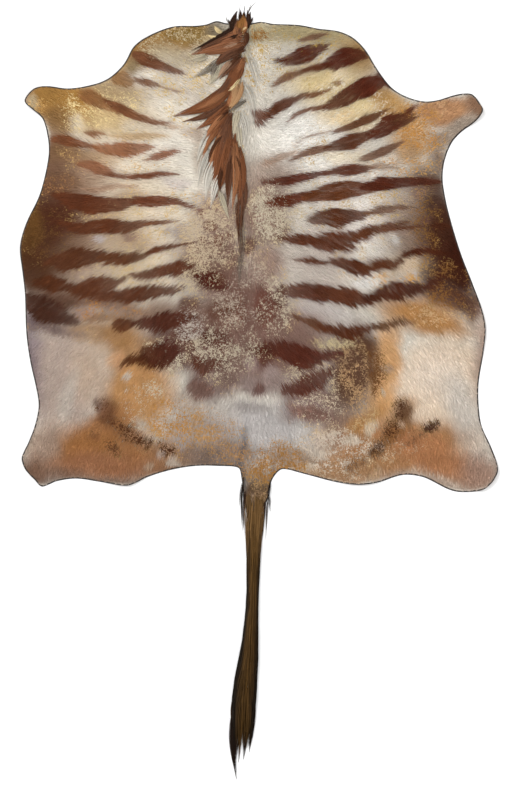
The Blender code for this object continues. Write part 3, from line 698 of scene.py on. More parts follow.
def nearest_on(path, x, y):
    """Distance to a path, and how far along it the nearest place is, from 0 to 1."""
    steps = np.linalg.norm(np.diff(path, axis=0), axis=1)
    before = np.concatenate([[0], np.cumsum(steps)])
    best = np.full(len(x), 1e6)
    along = np.zeros(len(x))
    for a, b, size, start in zip(path, path[1:], steps, before):
        d = (b - a) / size
        t = np.clip((x - a[0]) * d[0] + (y - a[1]) * d[1], 0, size)
        gap = np.hypot(x - a[0] - t * d[0], y - a[1] - t * d[1])
        nearer = gap < best
        best = np.where(nearer, gap, best)
        along = np.where(nearer, (start + t) / before[-1], along)
    return best, along


print("longest stripe:", round(max(np.ptp(place(row.path)[:, 0]) for row in STRIPES), 3), "m across the pelt")

# %% [markdown]
# ## The lie of the coat
#
# Hair grows outwards from the spine. Over the shoulders it points out and forwards to the fore legs, as the
# stripes do. Further back it slants more and more to the rear, and on the rump it lies straight back. A
# short table gives the slant behind straight out for places along the back, and whorls of noise keep it
# from looking combed.

# %% Table of slants
Slant = namedtuple("Slant", "y degrees")
SLANTS = [
    Slant(-0.72, 82),
    Slant(-0.50, 66),
    Slant(-0.30, 50),
    Slant(-0.10, 38),
    Slant(0.05, 26),
    Slant(0.15, 8),
    Slant(0.27, -12),
    Slant(0.40, -28),
    Slant(0.55, -28),
    Slant(0.68, -10),
]
SPINE_LINE = -0.030
SPINE_WIDTH = 55 * MM
TAIL_ROOT_TOP, TAIL_ROOT_END = -0.64, -0.70
TAIL_ROOT_HALF = 0.1
print("slants:", len(SLANTS))

# %% Direction of each hair
def lie(x, y):
    """The way the hair points at each place, as a unit vector in the plane."""
    slants = np.array(sorted(SLANTS))
    angle = np.interp(y, slants[:, 0], slants[:, 1])
    beside = x - SPINE_LINE
    near_spine = np.exp(-((beside / SPINE_WIDTH) ** 2))
    on_tail = ease(TAIL_ROOT_TOP, TAIL_ROOT_END, y) * (abs(x) < TAIL_ROOT_HALF)
    angle = angle + (90 - angle) * np.maximum(near_spine, on_tail)
    angle = np.radians(angle + 9 * noise(x, y, 0.06, 61) + 7 * noise(x, y, 0.16, 71))
    side = np.where(beside < 0, -1.0, 1.0)
    return np.stack([side * np.cos(angle), -np.sin(angle)], axis=1)


flank_way = lie(np.array([0.3]), np.zeros(1))[0]
print("hair on the right flank points", flank_way.round(2))

# %% Stripes along the lie
def combed_noise(x, y, way, width, length, seed):
    """Noise from about -1 to 1 that is drawn out along the lie, so that its lumps are streaks."""
    steps = np.linspace(-0.5, 0.5, 7) * length
    return 0.33 * sum(noise(x + way[:, 0] * s, y + way[:, 1] * s, width, seed) for s in steps)


def stripe_colour(x, y, found):
    """The coat's colour with the stripes laid over it, and how far each place is covered by one."""
    way = lie(x, y)
    streaks = combed_noise(x, y, way, 5 * MM, 24 * MM, 81)
    fray = 0.42 * streaks + 0.2 * noise(x, y, 11 * MM, 83) + 0.14 * noise(x, y, 24 * MM, 85)
    parted = 1 - 0.1 * ease(0.2, 0.9, combed_noise(x, y, way, 5 * MM, 36 * MM, 93))
    wave = 2.2 * MM * rough_noise(x, y, 0.045, 87)
    dark = np.zeros(len(x))
    # Each place is pushed back along the lie, and then its depth inside the stripe is measured.
    for row in STRIPES:
        path = spline(place(row.path), STRIPE_STEP)
        low, high = path.min(axis=0) - STRIPE_REACH, path.max(axis=0) + STRIPE_REACH
        near = np.flatnonzero((x > low[0]) & (x < high[0]) & (y > low[1]) & (y < high[1]))
        back = row.ragged * MM * fray[near]
        away, along = nearest_on(path, x[near] - back * way[near, 0], y[near] - back * way[near, 1])
        depth = row.thick / 2 * SQUARE * swell(along, row.fattest) - away + wave[near]
        # Around its cover, each stripe lays a faint painted shade that reaches 16 mm past it.
        covered, shade_halo = ease(-1.6 * MM, 2.4 * MM, depth), 0.2 * ease(-16 * MM, 0, depth)
        share = row.strength * np.maximum(covered, shade_halo)
        share *= (0.8 + 0.2 * swell(along, row.fattest)) * parted[near]
        mottle = 1 + 0.12 * noise(x[near], y[near], 0.012, 91) + 0.14 * streaks[near]
        tone = colour(row.colour) * RUDDY * mottle[:, None]
        found[near] = found[near] * (1 - share[:, None]) + tone * share[:, None]
        dark[near] = np.maximum(dark[near], share)
    return found, dark


at_first = place(STRIPES[0].path)
cover = stripe_colour(*at_first.T, np.ones((len(at_first), 3)))[1]
print("the first stripe covers its own path by", cover.round(2))

# %% [markdown]
# ## Specks
#
# The coat is roan in places: single pale hairs stand among dark ones over the back, and gold or brown ones
# among the cream of the shoulders, rump and hocks. A table says where, how thickly and in which colour. The
# specks themselves are drawn by the material, because they are finer than the lattice of hairs.

# %% Table of specks
Specks = namedtuple("Specks", "column row across down tilt colour amount")
SPECKS = [
    Specks(180, 52, 60, 30, 0, "b8a98a", 0.32),
    Specks(257, 33, 11, 10, 0, "94652c", 0.55),
    Specks(190, 90, 60, 50, 0, "c3a972", 0.28),
    Specks(105, 110, 60, 34, 0, "d8c594", 0.30),
    Specks(62, 105, 40, 22, 0, "c9a468", 0.22),
    Specks(290, 60, 60, 44, 0, "bfa056", 0.32),
    Specks(345, 110, 56, 44, 20, "dfd6c4", 0.42),
    Specks(412, 130, 34, 34, 20, "c08c4c", 0.50),
    Specks(428, 110, 30, 16, 0, "c9a27c", 0.35),
    Specks(390, 165, 46, 20, 0, "c8995c", 0.40),
    Specks(325, 165, 50, 40, 0, "c9ae7c", 0.28),
    Specks(110, 160, 60, 36, 0, "c3a06a", 0.22),
    Specks(60, 185, 26, 18, 0, "9c7048", 0.38),
    Specks(50, 230, 36, 38, 0, "6c4a28", 0.34),
    Specks(140, 215, 70, 36, 0, "c9ae7c", 0.34),
    Specks(130, 265, 76, 30, 0, "c6ae84", 0.36),
    Specks(110, 308, 50, 14, 0, "b98142", 0.38),
    Specks(60, 328, 46, 8, 8, "8e7a70", 0.50),
    Specks(360, 215, 60, 60, 0, "c6aa78", 0.33),
    Specks(420, 225, 22, 46, 0, "8e6434", 0.46),
    Specks(446, 284, 30, 36, 0, "8a5e32", 0.42),
    Specks(395, 280, 32, 14, 0, "cf9c52", 0.55),
    Specks(430, 312, 40, 18, 0, "cfae84", 0.38),
    Specks(215, 235, 40, 44, 0, "c2b096", 0.60),
    Specks(238, 175, 8, 40, 0, "cdbfa2", 0.55),
    Specks(268, 208, 26, 44, 0, "c8bca6", 0.52),
    Specks(285, 215, 22, 26, 0, "c9b898", 0.48),
    Specks(200, 275, 34, 24, 0, "bfae92", 0.58),
    Specks(240, 290, 44, 60, 0, "b5a594", 0.34),
    Specks(190, 320, 26, 24, 0, "bdb2a6", 0.50),
    Specks(272, 305, 24, 40, 0, "c4b7a0", 0.46),
    Specks(226, 345, 50, 44, 0, "bfb29c", 0.44),
    Specks(166, 352, 30, 22, 0, "c9bda6", 0.48),
    Specks(330, 340, 30, 9, 0, "c4b48e", 0.56),
    Specks(304, 370, 40, 16, 0, "c4b498", 0.46),
    Specks(346, 352, 26, 28, 0, "ad8d68", 0.38),
    Specks(356, 392, 26, 34, 14, "bb9a72", 0.42),
    Specks(318, 402, 36, 22, 0, "cbbba4", 0.52),
    Specks(352, 382, 24, 40, 14, "b5926a", 0.46),
    Specks(330, 392, 14, 24, 20, "c9b595", 0.50),
    Specks(372, 366, 12, 44, 0, "6b4628", 0.50),
    Specks(362, 416, 26, 13, -38, "c9ac80", 0.40),
    Specks(135, 410, 36, 40, 0, "c9bda8", 0.26),
    Specks(150, 392, 22, 22, 0, "c8bca6", 0.34),
    Specks(170, 414, 34, 30, 10, "b98848", 0.46),
    Specks(205, 432, 46, 36, 0, "b78d58", 0.42),
    Specks(235, 455, 44, 24, 0, "a98258", 0.44),
    Specks(275, 458, 44, 26, 0, "a4763e", 0.52),
    Specks(335, 446, 50, 30, -8, "cdbfae", 0.48),
    Specks(340, 474, 34, 12, 0, "bda992", 0.34),
    Specks(392, 440, 40, 22, 0, "cbb294", 0.32),
    Specks(106, 404, 14, 14, 0, "5c3722", 0.44),
    Specks(117, 419, 16, 10, 40, "5a3620", 0.56),
    Specks(132, 430, 24, 12, 36, "4d2c17", 0.58),
    Specks(146, 440, 9, 7, 26, "53341f", 0.50),
    Specks(168, 445, 16, 8, 30, "4a2b19", 0.56),
    Specks(96, 430, 8, 5, 30, "664631", 0.50),
    Specks(111, 443, 18, 6, 36, "5c3b26", 0.55),
    Specks(400, 406, 14, 15, 10, "4a2b1a", 0.52),
    Specks(389, 427, 12, 17, 20, "4d2e1a", 0.58),
    Specks(376, 444, 18, 10, -44, "4f3220", 0.56),
    Specks(354, 460, 16, 6, -20, "6a4a33", 0.60),
    Specks(429, 422, 11, 7, -16, "472b20", 0.85),
    Specks(411, 436, 20, 6, -38, "6a4a34", 0.52),
    Specks(257, 500, 15, 30, 0, "a88a68", 0.40),
    Specks(256, 545, 9, 40, 0, "a08048", 0.42),
]
SPECK_COLOUR = "c9a468"
SPECK_SOFT = 0.5
print("speckled patches:", len(SPECKS))

# %% Specks and colours of each place
def specks(x, y):
    """How thickly each place is speckled, and in which colour."""
    wx = x + 9 * MM * rough_noise(x, y, 0.03, 101)
    wy = y + 9 * MM * rough_noise(x, y, 0.03, 103)
    patchy = 0.26 * rough_noise(x, y, 0.06, 105) + 0.1 * noise(x, y, 0.018, 107)
    amount = np.zeros(len(x))
    tint = np.tile(colour(SPECK_COLOUR), (len(x), 1))
    for row in SPECKS:
        share = ellipse(Shade(*row[:5], row.colour, 1, SPECK_SOFT), wx, wy)
        here = row.amount * share
        stronger = (share * ease(-0.1, 0.15, here - amount))[:, None]
        tint = tint * (1 - stronger) + colour(row.colour) * stronger
        amount = np.maximum(amount, here)
    return np.clip(amount + patchy * (amount > 0.02), 0, 1), tint


def coat_colours(x, y):
    """What the coat's material reads for each place: its colour, and the specks' amount and colour."""
    found, dark = stripe_colour(x, y, ground_colour(x, y))
    mottle = 1 + 0.07 * rough_noise(x, y, 0.03, 111) + 0.05 * noise(x, y, 0.008, 113)
    amount, tint = specks(x, y)
    # Painted shade: the coat darkens towards the cut edge, to about two thirds of its colour at the rim.
    edge_shade = 0.68 + 0.32 * ease(2 * MM, 13 * MM, room(x, y))
    inner = np.exp(-(((x - SPINE_LINE) / 0.17) ** 2))
    amount = amount * (1 - dark * (0.85 - 0.4 * inner))
    return found * (mottle * edge_shade)[:, None], amount, tint


thickest = specks(*place([(row.column, row.row) for row in SPECKS]).T)[0].max()
print("thickest specks:", round(float(thickest), 2))

# %% [markdown]
# ## Materials
#
# Three effects are shared, so they are node groups. One lays specks over a colour, one varies a colour from
# hair to hair and from root to tip, and one gives leather its pores and wrinkles. They put out colours and
# heights only, and each material keeps its own shader.

# %% Node helpers
def start_group(name, inputs, outputs):
    """An empty node group with its two end nodes. Inputs are (name, type, default)."""
    tree = bpy.data.node_groups.new(name, "ShaderNodeTree")
    for label, kind, value in inputs:
        socket = tree.interface.new_socket(label, in_out="INPUT", socket_type=kind)
        socket.default_value = value
    for label, kind in outputs:
        tree.interface.new_socket(label, in_out="OUTPUT", socket_type=kind)
    return tree, tree.nodes.new("NodeGroupInput"), tree.nodes.new("NodeGroupOutput")


def math_node(tree, operation, first, second=None):
    """A Math node. Its two values are numbers or sockets."""
    node = tree.nodes.new("ShaderNodeMath")
    node.operation = operation
    for socket, value in zip(node.inputs, (first, second)):
        if isinstance(value, (int, float)):
            socket.default_value = value
        elif value is not None:
            tree.links.new(value, socket)
    return node.outputs[0]


def ranged(tree, value, low, high, to_low, to_high):
    """A smooth Map Range node. Its four limits are numbers or sockets."""
    node = tree.nodes.new("ShaderNodeMapRange")
    node.interpolation_type = "SMOOTHSTEP"
    for name, setting in (("From Min", low), ("From Max", high), ("To Min", to_low), ("To Max", to_high)):
        if isinstance(setting, (int, float)):
            node.inputs[name].default_value = setting
        else:
            tree.links.new(setting, node.inputs[name])
    tree.links.new(value, node.inputs["Value"])
    return node.outputs["Result"]


def noise_node(tree, scale, detail, roughness=0.5, distortion=0.0, flat=False):
    """Noise on Object coordinates, with scale in lumps for each metre. Flat noise ignores the height."""
    where = tree.nodes.new("ShaderNodeTexCoord").outputs["Object"]
    if flat:
        pressed = tree.nodes.new("ShaderNodeMapping")
        pressed.inputs["Scale"].default_value = (1, 1, 0)
        tree.links.new(where, pressed.inputs["Vector"])
        where = pressed.outputs["Vector"]
    node = tree.nodes.new("ShaderNodeTexNoise")
    tree.links.new(where, node.inputs["Vector"])
    settings = {"Scale": scale, "Detail": detail, "Roughness": roughness, "Distortion": distortion}
    for name, setting in settings.items():
        node.inputs[name].default_value = setting
    return node.outputs["Fac"]


def mixed(tree, blend, factor, first, second):
    """A Mix node for colours. The factor and both colours are values or sockets."""
    node = tree.nodes.new("ShaderNodeMix")
    node.data_type = "RGBA"
    node.blend_type = blend
    for socket, value in ((node.inputs[0], factor), (node.inputs[6], first), (node.inputs[7], second)):
        if isinstance(value, (int, float, tuple)):
            socket.default_value = value
        else:
            tree.links.new(value, socket)
    return node.outputs[2]


def attribute(tree, name):
    """A node that reads one of the mesh's own attributes."""
    node = tree.nodes.new("ShaderNodeAttribute")
    node.attribute_name = name
    return node


node_helpers = (start_group, math_node, ranged, noise_node, mixed, attribute)
print("helpers:", ", ".join(helper.__name__ for helper in node_helpers))

# %% Shared node groups
def make_speckled():
    """Fine specks over a colour: their amount and colour are the pelt's own attributes."""
    tree, start, end = start_group(
        "speckled coat", [("Ground", "NodeSocketColor", (0.5, 0.4, 0.3, 1))], [("Colour", "NodeSocketColor")]
    )
    amount = attribute(tree, "speck_amount").outputs["Fac"]
    fine = noise_node(tree, 150, 2, 0.62, 1.6, flat=True)
    broad = noise_node(tree, 46, 2, 0.5, 0.8, flat=True)
    fine_part = math_node(tree, "MULTIPLY", fine, 0.8)
    field = math_node(tree, "ADD", fine_part, math_node(tree, "MULTIPLY", broad, 0.2))
    level = math_node(tree, "SUBTRACT", 0.665, math_node(tree, "MULTIPLY", amount, 0.33))
    mask = ranged(tree, field, level, math_node(tree, "ADD", level, 0.022), 0.0, 0.95)
    mask = math_node(tree, "MULTIPLY", mask, ranged(tree, amount, 0.04, 0.2, 0.0, 1.0))
    laid = mixed(tree, "MIX", mask, start.outputs["Ground"], attribute(tree, "speck_tint").outputs["Color"])
    tree.links.new(laid, end.inputs["Colour"])
    return tree


def make_hair_tone():
    """Darkens a hair's root, lightens its tip and gives each hair its own tone."""
    tree, start, end = start_group(
        "hair tone",
        [
            ("Colour", "NodeSocketColor", (0.5, 0.4, 0.3, 1)),
            ("Root", "NodeSocketFloat", 0.75),
            ("Tip", "NodeSocketFloat", 1.1),
            ("Spread", "NodeSocketFloat", 0.2),
        ],
        [("Colour", "NodeSocketColor"), ("Height", "NodeSocketFloat")],
    )
    along = attribute(tree, "along").outputs["Fac"]
    own = math_node(tree, "SUBTRACT", attribute(tree, "own").outputs["Fac"], 0.5)
    tone = ranged(tree, along, 0.0, 1.0, start.outputs["Root"], start.outputs["Tip"])
    tone = math_node(tree, "ADD", tone, math_node(tree, "MULTIPLY", own, start.outputs["Spread"]))
    grey = tree.nodes.new("ShaderNodeCombineColor")
    for socket in grey.inputs:
        tree.links.new(tone, socket)
    toned = mixed(tree, "MULTIPLY", 1.0, start.outputs["Colour"], grey.outputs["Color"])
    tree.links.new(toned, end.inputs["Colour"])
    tree.links.new(noise_node(tree, 700, 2), end.inputs["Height"])
    return tree


def make_leather_grain():
    """Pores and wrinkles of tanned skin, as a height and a mask of the worn places."""
    outputs = [("Height", "NodeSocketFloat"), ("Worn", "NodeSocketFloat")]
    tree, _, end = start_group("leather grain", [], outputs)
    coordinates = tree.nodes.new("ShaderNodeTexCoord")
    cells = tree.nodes.new("ShaderNodeTexVoronoi")
    cells.inputs["Scale"].default_value = 420
    tree.links.new(coordinates.outputs["Object"], cells.inputs["Vector"])
    pores = math_node(tree, "MULTIPLY", cells.outputs["Distance"], 0.5)
    wrinkles = noise_node(tree, 38, 5, 0.6, 0.7)
    tree.links.new(math_node(tree, "ADD", pores, wrinkles), end.inputs["Height"])
    tree.links.new(ranged(tree, noise_node(tree, 7, 4), 0.42, 0.62, 0.0, 1.0), end.inputs["Worn"])
    return tree


speckled = make_speckled()
hair_tone = make_hair_tone()
leather_grain = make_leather_grain()
print("node groups:", speckled.name, "|", hair_tone.name, "|", leather_grain.name)

# %% Material helpers
def start_material(name, roughness, specular, sheen=0.0):
    """A material with its shader, and the shader's constant values set."""
    material = bpy.data.materials.new(name)
    material.use_nodes = True
    shader = material.node_tree.nodes["Principled BSDF"]
    shader.inputs["Roughness"].default_value = roughness
    shader.inputs["Specular IOR Level"].default_value = specular
    shader.inputs["Sheen Weight"].default_value = sheen
    return material, material.node_tree, shader


def use(tree, group, **values):
    """A node group in a material, with its inputs given by their names in small letters."""
    node = tree.nodes.new("ShaderNodeGroup")
    node.node_tree = group
    for name, value in values.items():
        socket = node.inputs[name.capitalize()]
        if isinstance(value, (int, float)):
            socket.default_value = value
        else:
            tree.links.new(value, socket)
    return node


def bumped(tree, shader, height, strength, distance):
    """Turns a height into the shader's normal."""
    bump = tree.nodes.new("ShaderNodeBump")
    bump.inputs["Strength"].default_value = strength
    bump.inputs["Distance"].default_value = distance
    tree.links.new(height, bump.inputs["Height"])
    tree.links.new(bump.outputs["Normal"], shader.inputs["Normal"])


material_helpers = (start_material, use, bumped)
print("helpers:", ", ".join(helper.__name__ for helper in material_helpers))

# %% Materials of hair and skin
def coat_material():
    """Short glossy hair in the colours of the chart."""
    material, tree, shader = start_material("short coat", 0.66, 0.04)
    laid = use(tree, speckled, ground=attribute(tree, "ground").outputs["Color"])
    toned = use(tree, hair_tone, colour=laid.outputs["Colour"], root=1.02, tip=1.28, spread=0.16)
    tree.links.new(toned.outputs["Colour"], shader.inputs["Base Color"])
    bumped(tree, shader, toned.outputs["Height"], 0.15, 0.0004)
    return material


def undercoat_material():
    """The hair side of the skin, seen between the hairs."""
    material, tree, shader = start_material("undercoat", 0.8, 0.04)
    laid = use(tree, speckled, ground=attribute(tree, "ground").outputs["Color"])
    # The skin between the hairs is darkened a little: painted shade of the hairs over it.
    shaded = mixed(tree, "MULTIPLY", 1.0, laid.outputs["Colour"], (0.9, 0.88, 0.86, 1))
    tree.links.new(shaded, shader.inputs["Base Color"])
    bumped(tree, shader, use(tree, leather_grain).outputs["Height"], 0.3, 0.001)
    return material


def rim_material():
    """The knife cut and the bare band beside it, in near-black tones."""
    material, tree, shader = start_material("cut edge", 0.7, 0.25)
    grained = use(tree, leather_grain)
    tone = mixed(tree, "MIX", grained.outputs["Worn"], (*colour("1f1814"), 1), (*colour("2e2621"), 1))
    tree.links.new(tone, shader.inputs["Base Color"])
    bumped(tree, shader, grained.outputs["Height"], 0.4, 0.0006)
    return material


def flesh_material():
    """The flesh side: pale suede with a soft nap, darker where it was handled."""
    material, tree, shader = start_material("flesh side suede", 0.88, 0.12, 0.2)
    grained = use(tree, leather_grain)
    tone = mixed(tree, "MIX", grained.outputs["Worn"], (*colour("cdb796"), 1), (*colour("b59a76"), 1))
    veins = ranged(tree, noise_node(tree, 16, 6, 0.55, 2.2), 0.49, 0.52, 1.0, 0.0)
    tone = mixed(tree, "MIX", math_node(tree, "MULTIPLY", veins, 0.25), tone, (*colour("9a7c5c"), 1))
    tree.links.new(tone, shader.inputs["Base Color"])
    bumped(tree, shader, grained.outputs["Height"], 0.35, 0.0012)
    return material


def long_hair_material(name, roughness, root, tip, spread):
    """Coarse long hair. Its colour comes with each hair."""
    material, tree, shader = start_material(name, roughness, 0.07)
    own_colour = attribute(tree, "ground").outputs["Color"]
    toned = use(tree, hair_tone, colour=own_colour, root=root, tip=tip, spread=spread)
    tree.links.new(toned.outputs["Colour"], shader.inputs["Base Color"])
    bumped(tree, shader, toned.outputs["Height"], 0.2, 0.0005)
    return material


coat_look = coat_material()
undercoat_look = undercoat_material()
rim_look = rim_material()
flesh_look = flesh_material()
mane_look = long_hair_material("mane hair", 0.58, 0.8, 1.1, 0.34)
tail_look = long_hair_material("tail hair", 0.55, 0.9, 1.1, 0.5)
print("materials:", len(bpy.data.materials))

# %% [markdown]
# ## The skin
#
# A tanned hide is one sheet about 2 mm thick. Its mesh is a lattice of points inside the cut edge, joined
# by a Delaunay triangulation that serves for the hair side and, turned over, for the flesh side. Two rows of
# points follow the edge, so that the bare dark rim is an even band all the way round.

# %% Pieces and their attributes
def finish_piece(name, mesh, *materials):
    """An object at the origin with that mesh and those materials. Each face keeps its own choice."""
    mesh.name = name
    chosen = np.zeros(len(mesh.polygons), np.int32)
    mesh.polygons.foreach_get("material_index", chosen)
    mesh.materials.clear()
    for material in materials:
        mesh.materials.append(material)
    mesh.polygons.foreach_set("material_index", chosen)
    obj = bpy.data.objects.new(name, mesh)
    bpy.context.scene.collection.objects.link(obj)
    return obj


def put_attribute(mesh, name, kind, values):
    """Writes an array as a named attribute of the mesh's points. Colours get an alpha of 1."""
    values = np.asarray(values, np.float32)
    if kind == "FLOAT_COLOR":
        values = np.concatenate([values, np.ones((len(values), 1), np.float32)], axis=1)
    made = mesh.attributes.new(name, kind, "POINT")
    field = {"FLOAT": "value", "FLOAT_VECTOR": "vector", "FLOAT_COLOR": "color"}[kind]
    made.data.foreach_set(field, values.ravel())


def write_coat_attributes(mesh, x, y):
    """Writes what the coat's materials read."""
    ground, amount, tint = coat_colours(x, y)
    put_attribute(mesh, "ground", "FLOAT_COLOR", ground)
    put_attribute(mesh, "speck_amount", "FLOAT", amount)
    put_attribute(mesh, "speck_tint", "FLOAT_COLOR", tint)


def open_sides(mesh):
    """How many edges of a mesh don't have a face on both sides. A closed body has none."""
    loops = np.zeros(len(mesh.loops), np.int32)
    mesh.loops.foreach_get("edge_index", loops)
    return int((np.bincount(loops, minlength=len(mesh.edges)) != 2).sum())


piece_helpers = (finish_piece, put_attribute, write_coat_attributes, open_sides)
print("helpers:", ", ".join(helper.__name__ for helper in piece_helpers))

# %% Plan of the sheet
RIM = 4.2 * MM
SECOND_ROW = 8 * MM
LATTICE = 10.5 * MM


def inner_rows():
    """Rows of points that follow the cut edge inside it."""
    following = np.roll(edge, -1, axis=0) - np.roll(edge, 1, axis=0)
    inward = np.stack([following[:, 1], -following[:, 0]], axis=1)
    inward /= np.linalg.norm(inward, axis=1)[:, None]
    rows = []
    for depth, every in ((RIM, 1), (SECOND_ROW, 2)):
        row = (edge + inward * depth)[::every]
        rows.append(row[room(row[:, 0], row[:, 1]) > 0.86 * depth])
    return rows


def staggered(low, high, pitch, shake=0.0):
    """A staggered lattice of points over a box, each shaken by a share of the pitch."""
    rise = pitch * math.sqrt(3) / 2
    across = np.arange(low[0], high[0], pitch)
    up = np.arange(low[1], high[1], rise)
    gx, gy = np.meshgrid(across, up)
    gx = gx + pitch / 2 * (np.arange(len(up)) % 2)[:, None]
    spread = rng.uniform(-shake, shake, (2, *gx.shape)) * pitch
    return (gx + spread[0]).ravel(), (gy + spread[1]).ravel()


def sheet_plan():
    """Points and triangles of the sheet, seen from above."""
    gx, gy = staggered(edge.min(axis=0), edge.max(axis=0), LATTICE)
    keep = room(gx, gy) > SECOND_ROW + 0.5 * LATTICE
    points = np.concatenate([edge, *inner_rows(), np.stack([gx[keep], gy[keep]], axis=1)])
    count = len(edge)
    sides = [(i, (i + 1) % count) for i in range(count)]
    found, _, faces, *_ = delaunay_2d_cdt([Vector(p) for p in points], sides, [], 1, 1e-7)
    plan, faces = np.array(found), np.array(faces)
    a, b, c = (plan[faces[:, k]] for k in range(3))
    turned = np.cross(b - a, c - a) < 0
    faces[turned] = faces[turned][:, ::-1]
    return plan, faces


plan, faces = sheet_plan()
print("sheet:", len(plan), "points and", len(faces), "triangles for each side")

# %% Sheet of skin
UV_MARGIN = 0.01
UV_SIDE = (0.47, 0.94)
FLESH_SIDE_SHIFT = 0.51
CUT_BAND, CUT_BAND_HEIGHT = 0.965, 0.02
CUT_CENTRE_Y = -0.3


def unwrap_sheet(mesh, places, face_count, wall_count):
    """Its UV map: the hair side and the flesh side next to each other, and the cut in a band above them."""
    low, size = places[:, :2].min(axis=0), np.ptp(places[:, :2], axis=0)
    flat = (places[:, :2] - low) / size * UV_SIDE + UV_MARGIN
    corners = np.zeros(len(mesh.loops), np.int32)
    mesh.loops.foreach_get("vertex_index", corners)
    uv = flat[corners]
    side = np.repeat(np.arange(3), (3 * face_count, 3 * face_count, 4 * wall_count))
    uv[side == 1, 0] += FLESH_SIDE_SHIFT
    way_round = np.arctan2(places[:, 1] - CUT_CENTRE_Y, places[:, 0]) / (2 * math.pi) + 0.5
    wall = corners[side == 2]
    upper = wall < len(places) // 2
    uv[side == 2] = np.column_stack([way_round[wall], CUT_BAND + CUT_BAND_HEIGHT * upper])
    mesh.uv_layers.new(name="OFBake").data.foreach_set("uv", uv.astype(np.float32).ravel())


def skin_mesh():
    """Hair side, flesh side and the wall of the cut between them, as one closed mesh."""
    count = len(plan)
    x, y = plan.T
    bottom = lift(x, y)
    top = np.where(room(x, y) < 0.5 * RIM, bottom + 0.8 * SKIN, skin_top(x, y))
    pairs = np.concatenate([faces[:, [0, 1]], faces[:, [1, 2]], faces[:, [2, 0]]])
    known = set(map(tuple, pairs))
    rim = np.array([(i, j) for i, j in known if (j, i) not in known])
    places = np.concatenate([np.column_stack([x, y, top]), np.column_stack([x, y, bottom])])
    walls = [(i, i + count, j + count, j) for i, j in rim]
    mesh = bpy.data.meshes.new("skin")
    mesh.from_pydata(places, [], [*faces.tolist(), *(faces[:, ::-1] + count).tolist(), *walls])
    middle = plan[faces].mean(axis=1)
    bare = room(middle[:, 0], middle[:, 1]) < 0.85 * RIM
    looks = np.concatenate([bare * 1, np.full(len(faces), 2), np.full(len(walls), 1)])
    mesh.polygons.foreach_set("material_index", looks.astype(np.int32))
    write_coat_attributes(mesh, *places[:, :2].T)
    unwrap_sheet(mesh, places, len(faces), len(walls))
    mesh.shade_smooth()
    mesh.update()
    return mesh


skin = finish_piece("skin", skin_mesh(), undercoat_look, rim_look, flesh_look)
print("skin:", len(skin.data.polygons), "faces, open sides:", open_sides(skin.data))

# %% [markdown]
# ## The coat
#
# Short hair does the same thing everywhere: it leaves the skin at a low angle, points the way the coat lies
# and ends in a point. That suits Geometry Nodes. The script works out where each hair stands, which way it
# points, how long it is and what colour it has, as attributes of bare points. The node tree then puts a
# three-sided spike on each point. Hair near the cut edge is shortened until its tip stays inside the rim.

# %% Helpers for Geometry Nodes
def start_tree(name, inputs):
    """A Geometry Nodes tree with its end nodes. Inputs are (name, type, default)."""
    tree = bpy.data.node_groups.new(name, "GeometryNodeTree")
    tree.interface.new_socket("Geometry", in_out="INPUT", socket_type="NodeSocketGeometry")
    for label, kind, value in inputs:
        socket = tree.interface.new_socket(label, in_out="INPUT", socket_type=kind)
        if value is not None:
            socket.default_value = value
    tree.interface.new_socket("Geometry", in_out="OUTPUT", socket_type="NodeSocketGeometry")
    return tree, tree.nodes.new("NodeGroupInput"), tree.nodes.new("NodeGroupOutput")


def named(tree, name, kind):
    """A named attribute as a field."""
    node = tree.nodes.new("GeometryNodeInputNamedAttribute")
    node.data_type = kind
    node.inputs["Name"].default_value = name
    return node.outputs["Attribute"]


def wire(tree, *pairs):
    """Links each output to the input beside it."""
    for source, target in pairs:
        tree.links.new(source, target)


SIDES_INPUT = ("Sides", "NodeSocketInt", 3)
LOOK_INPUT = ("Look", "NodeSocketMaterial", None)
print("inputs of every hair tree:", SIDES_INPUT[0], "and", LOOK_INPUT[0])

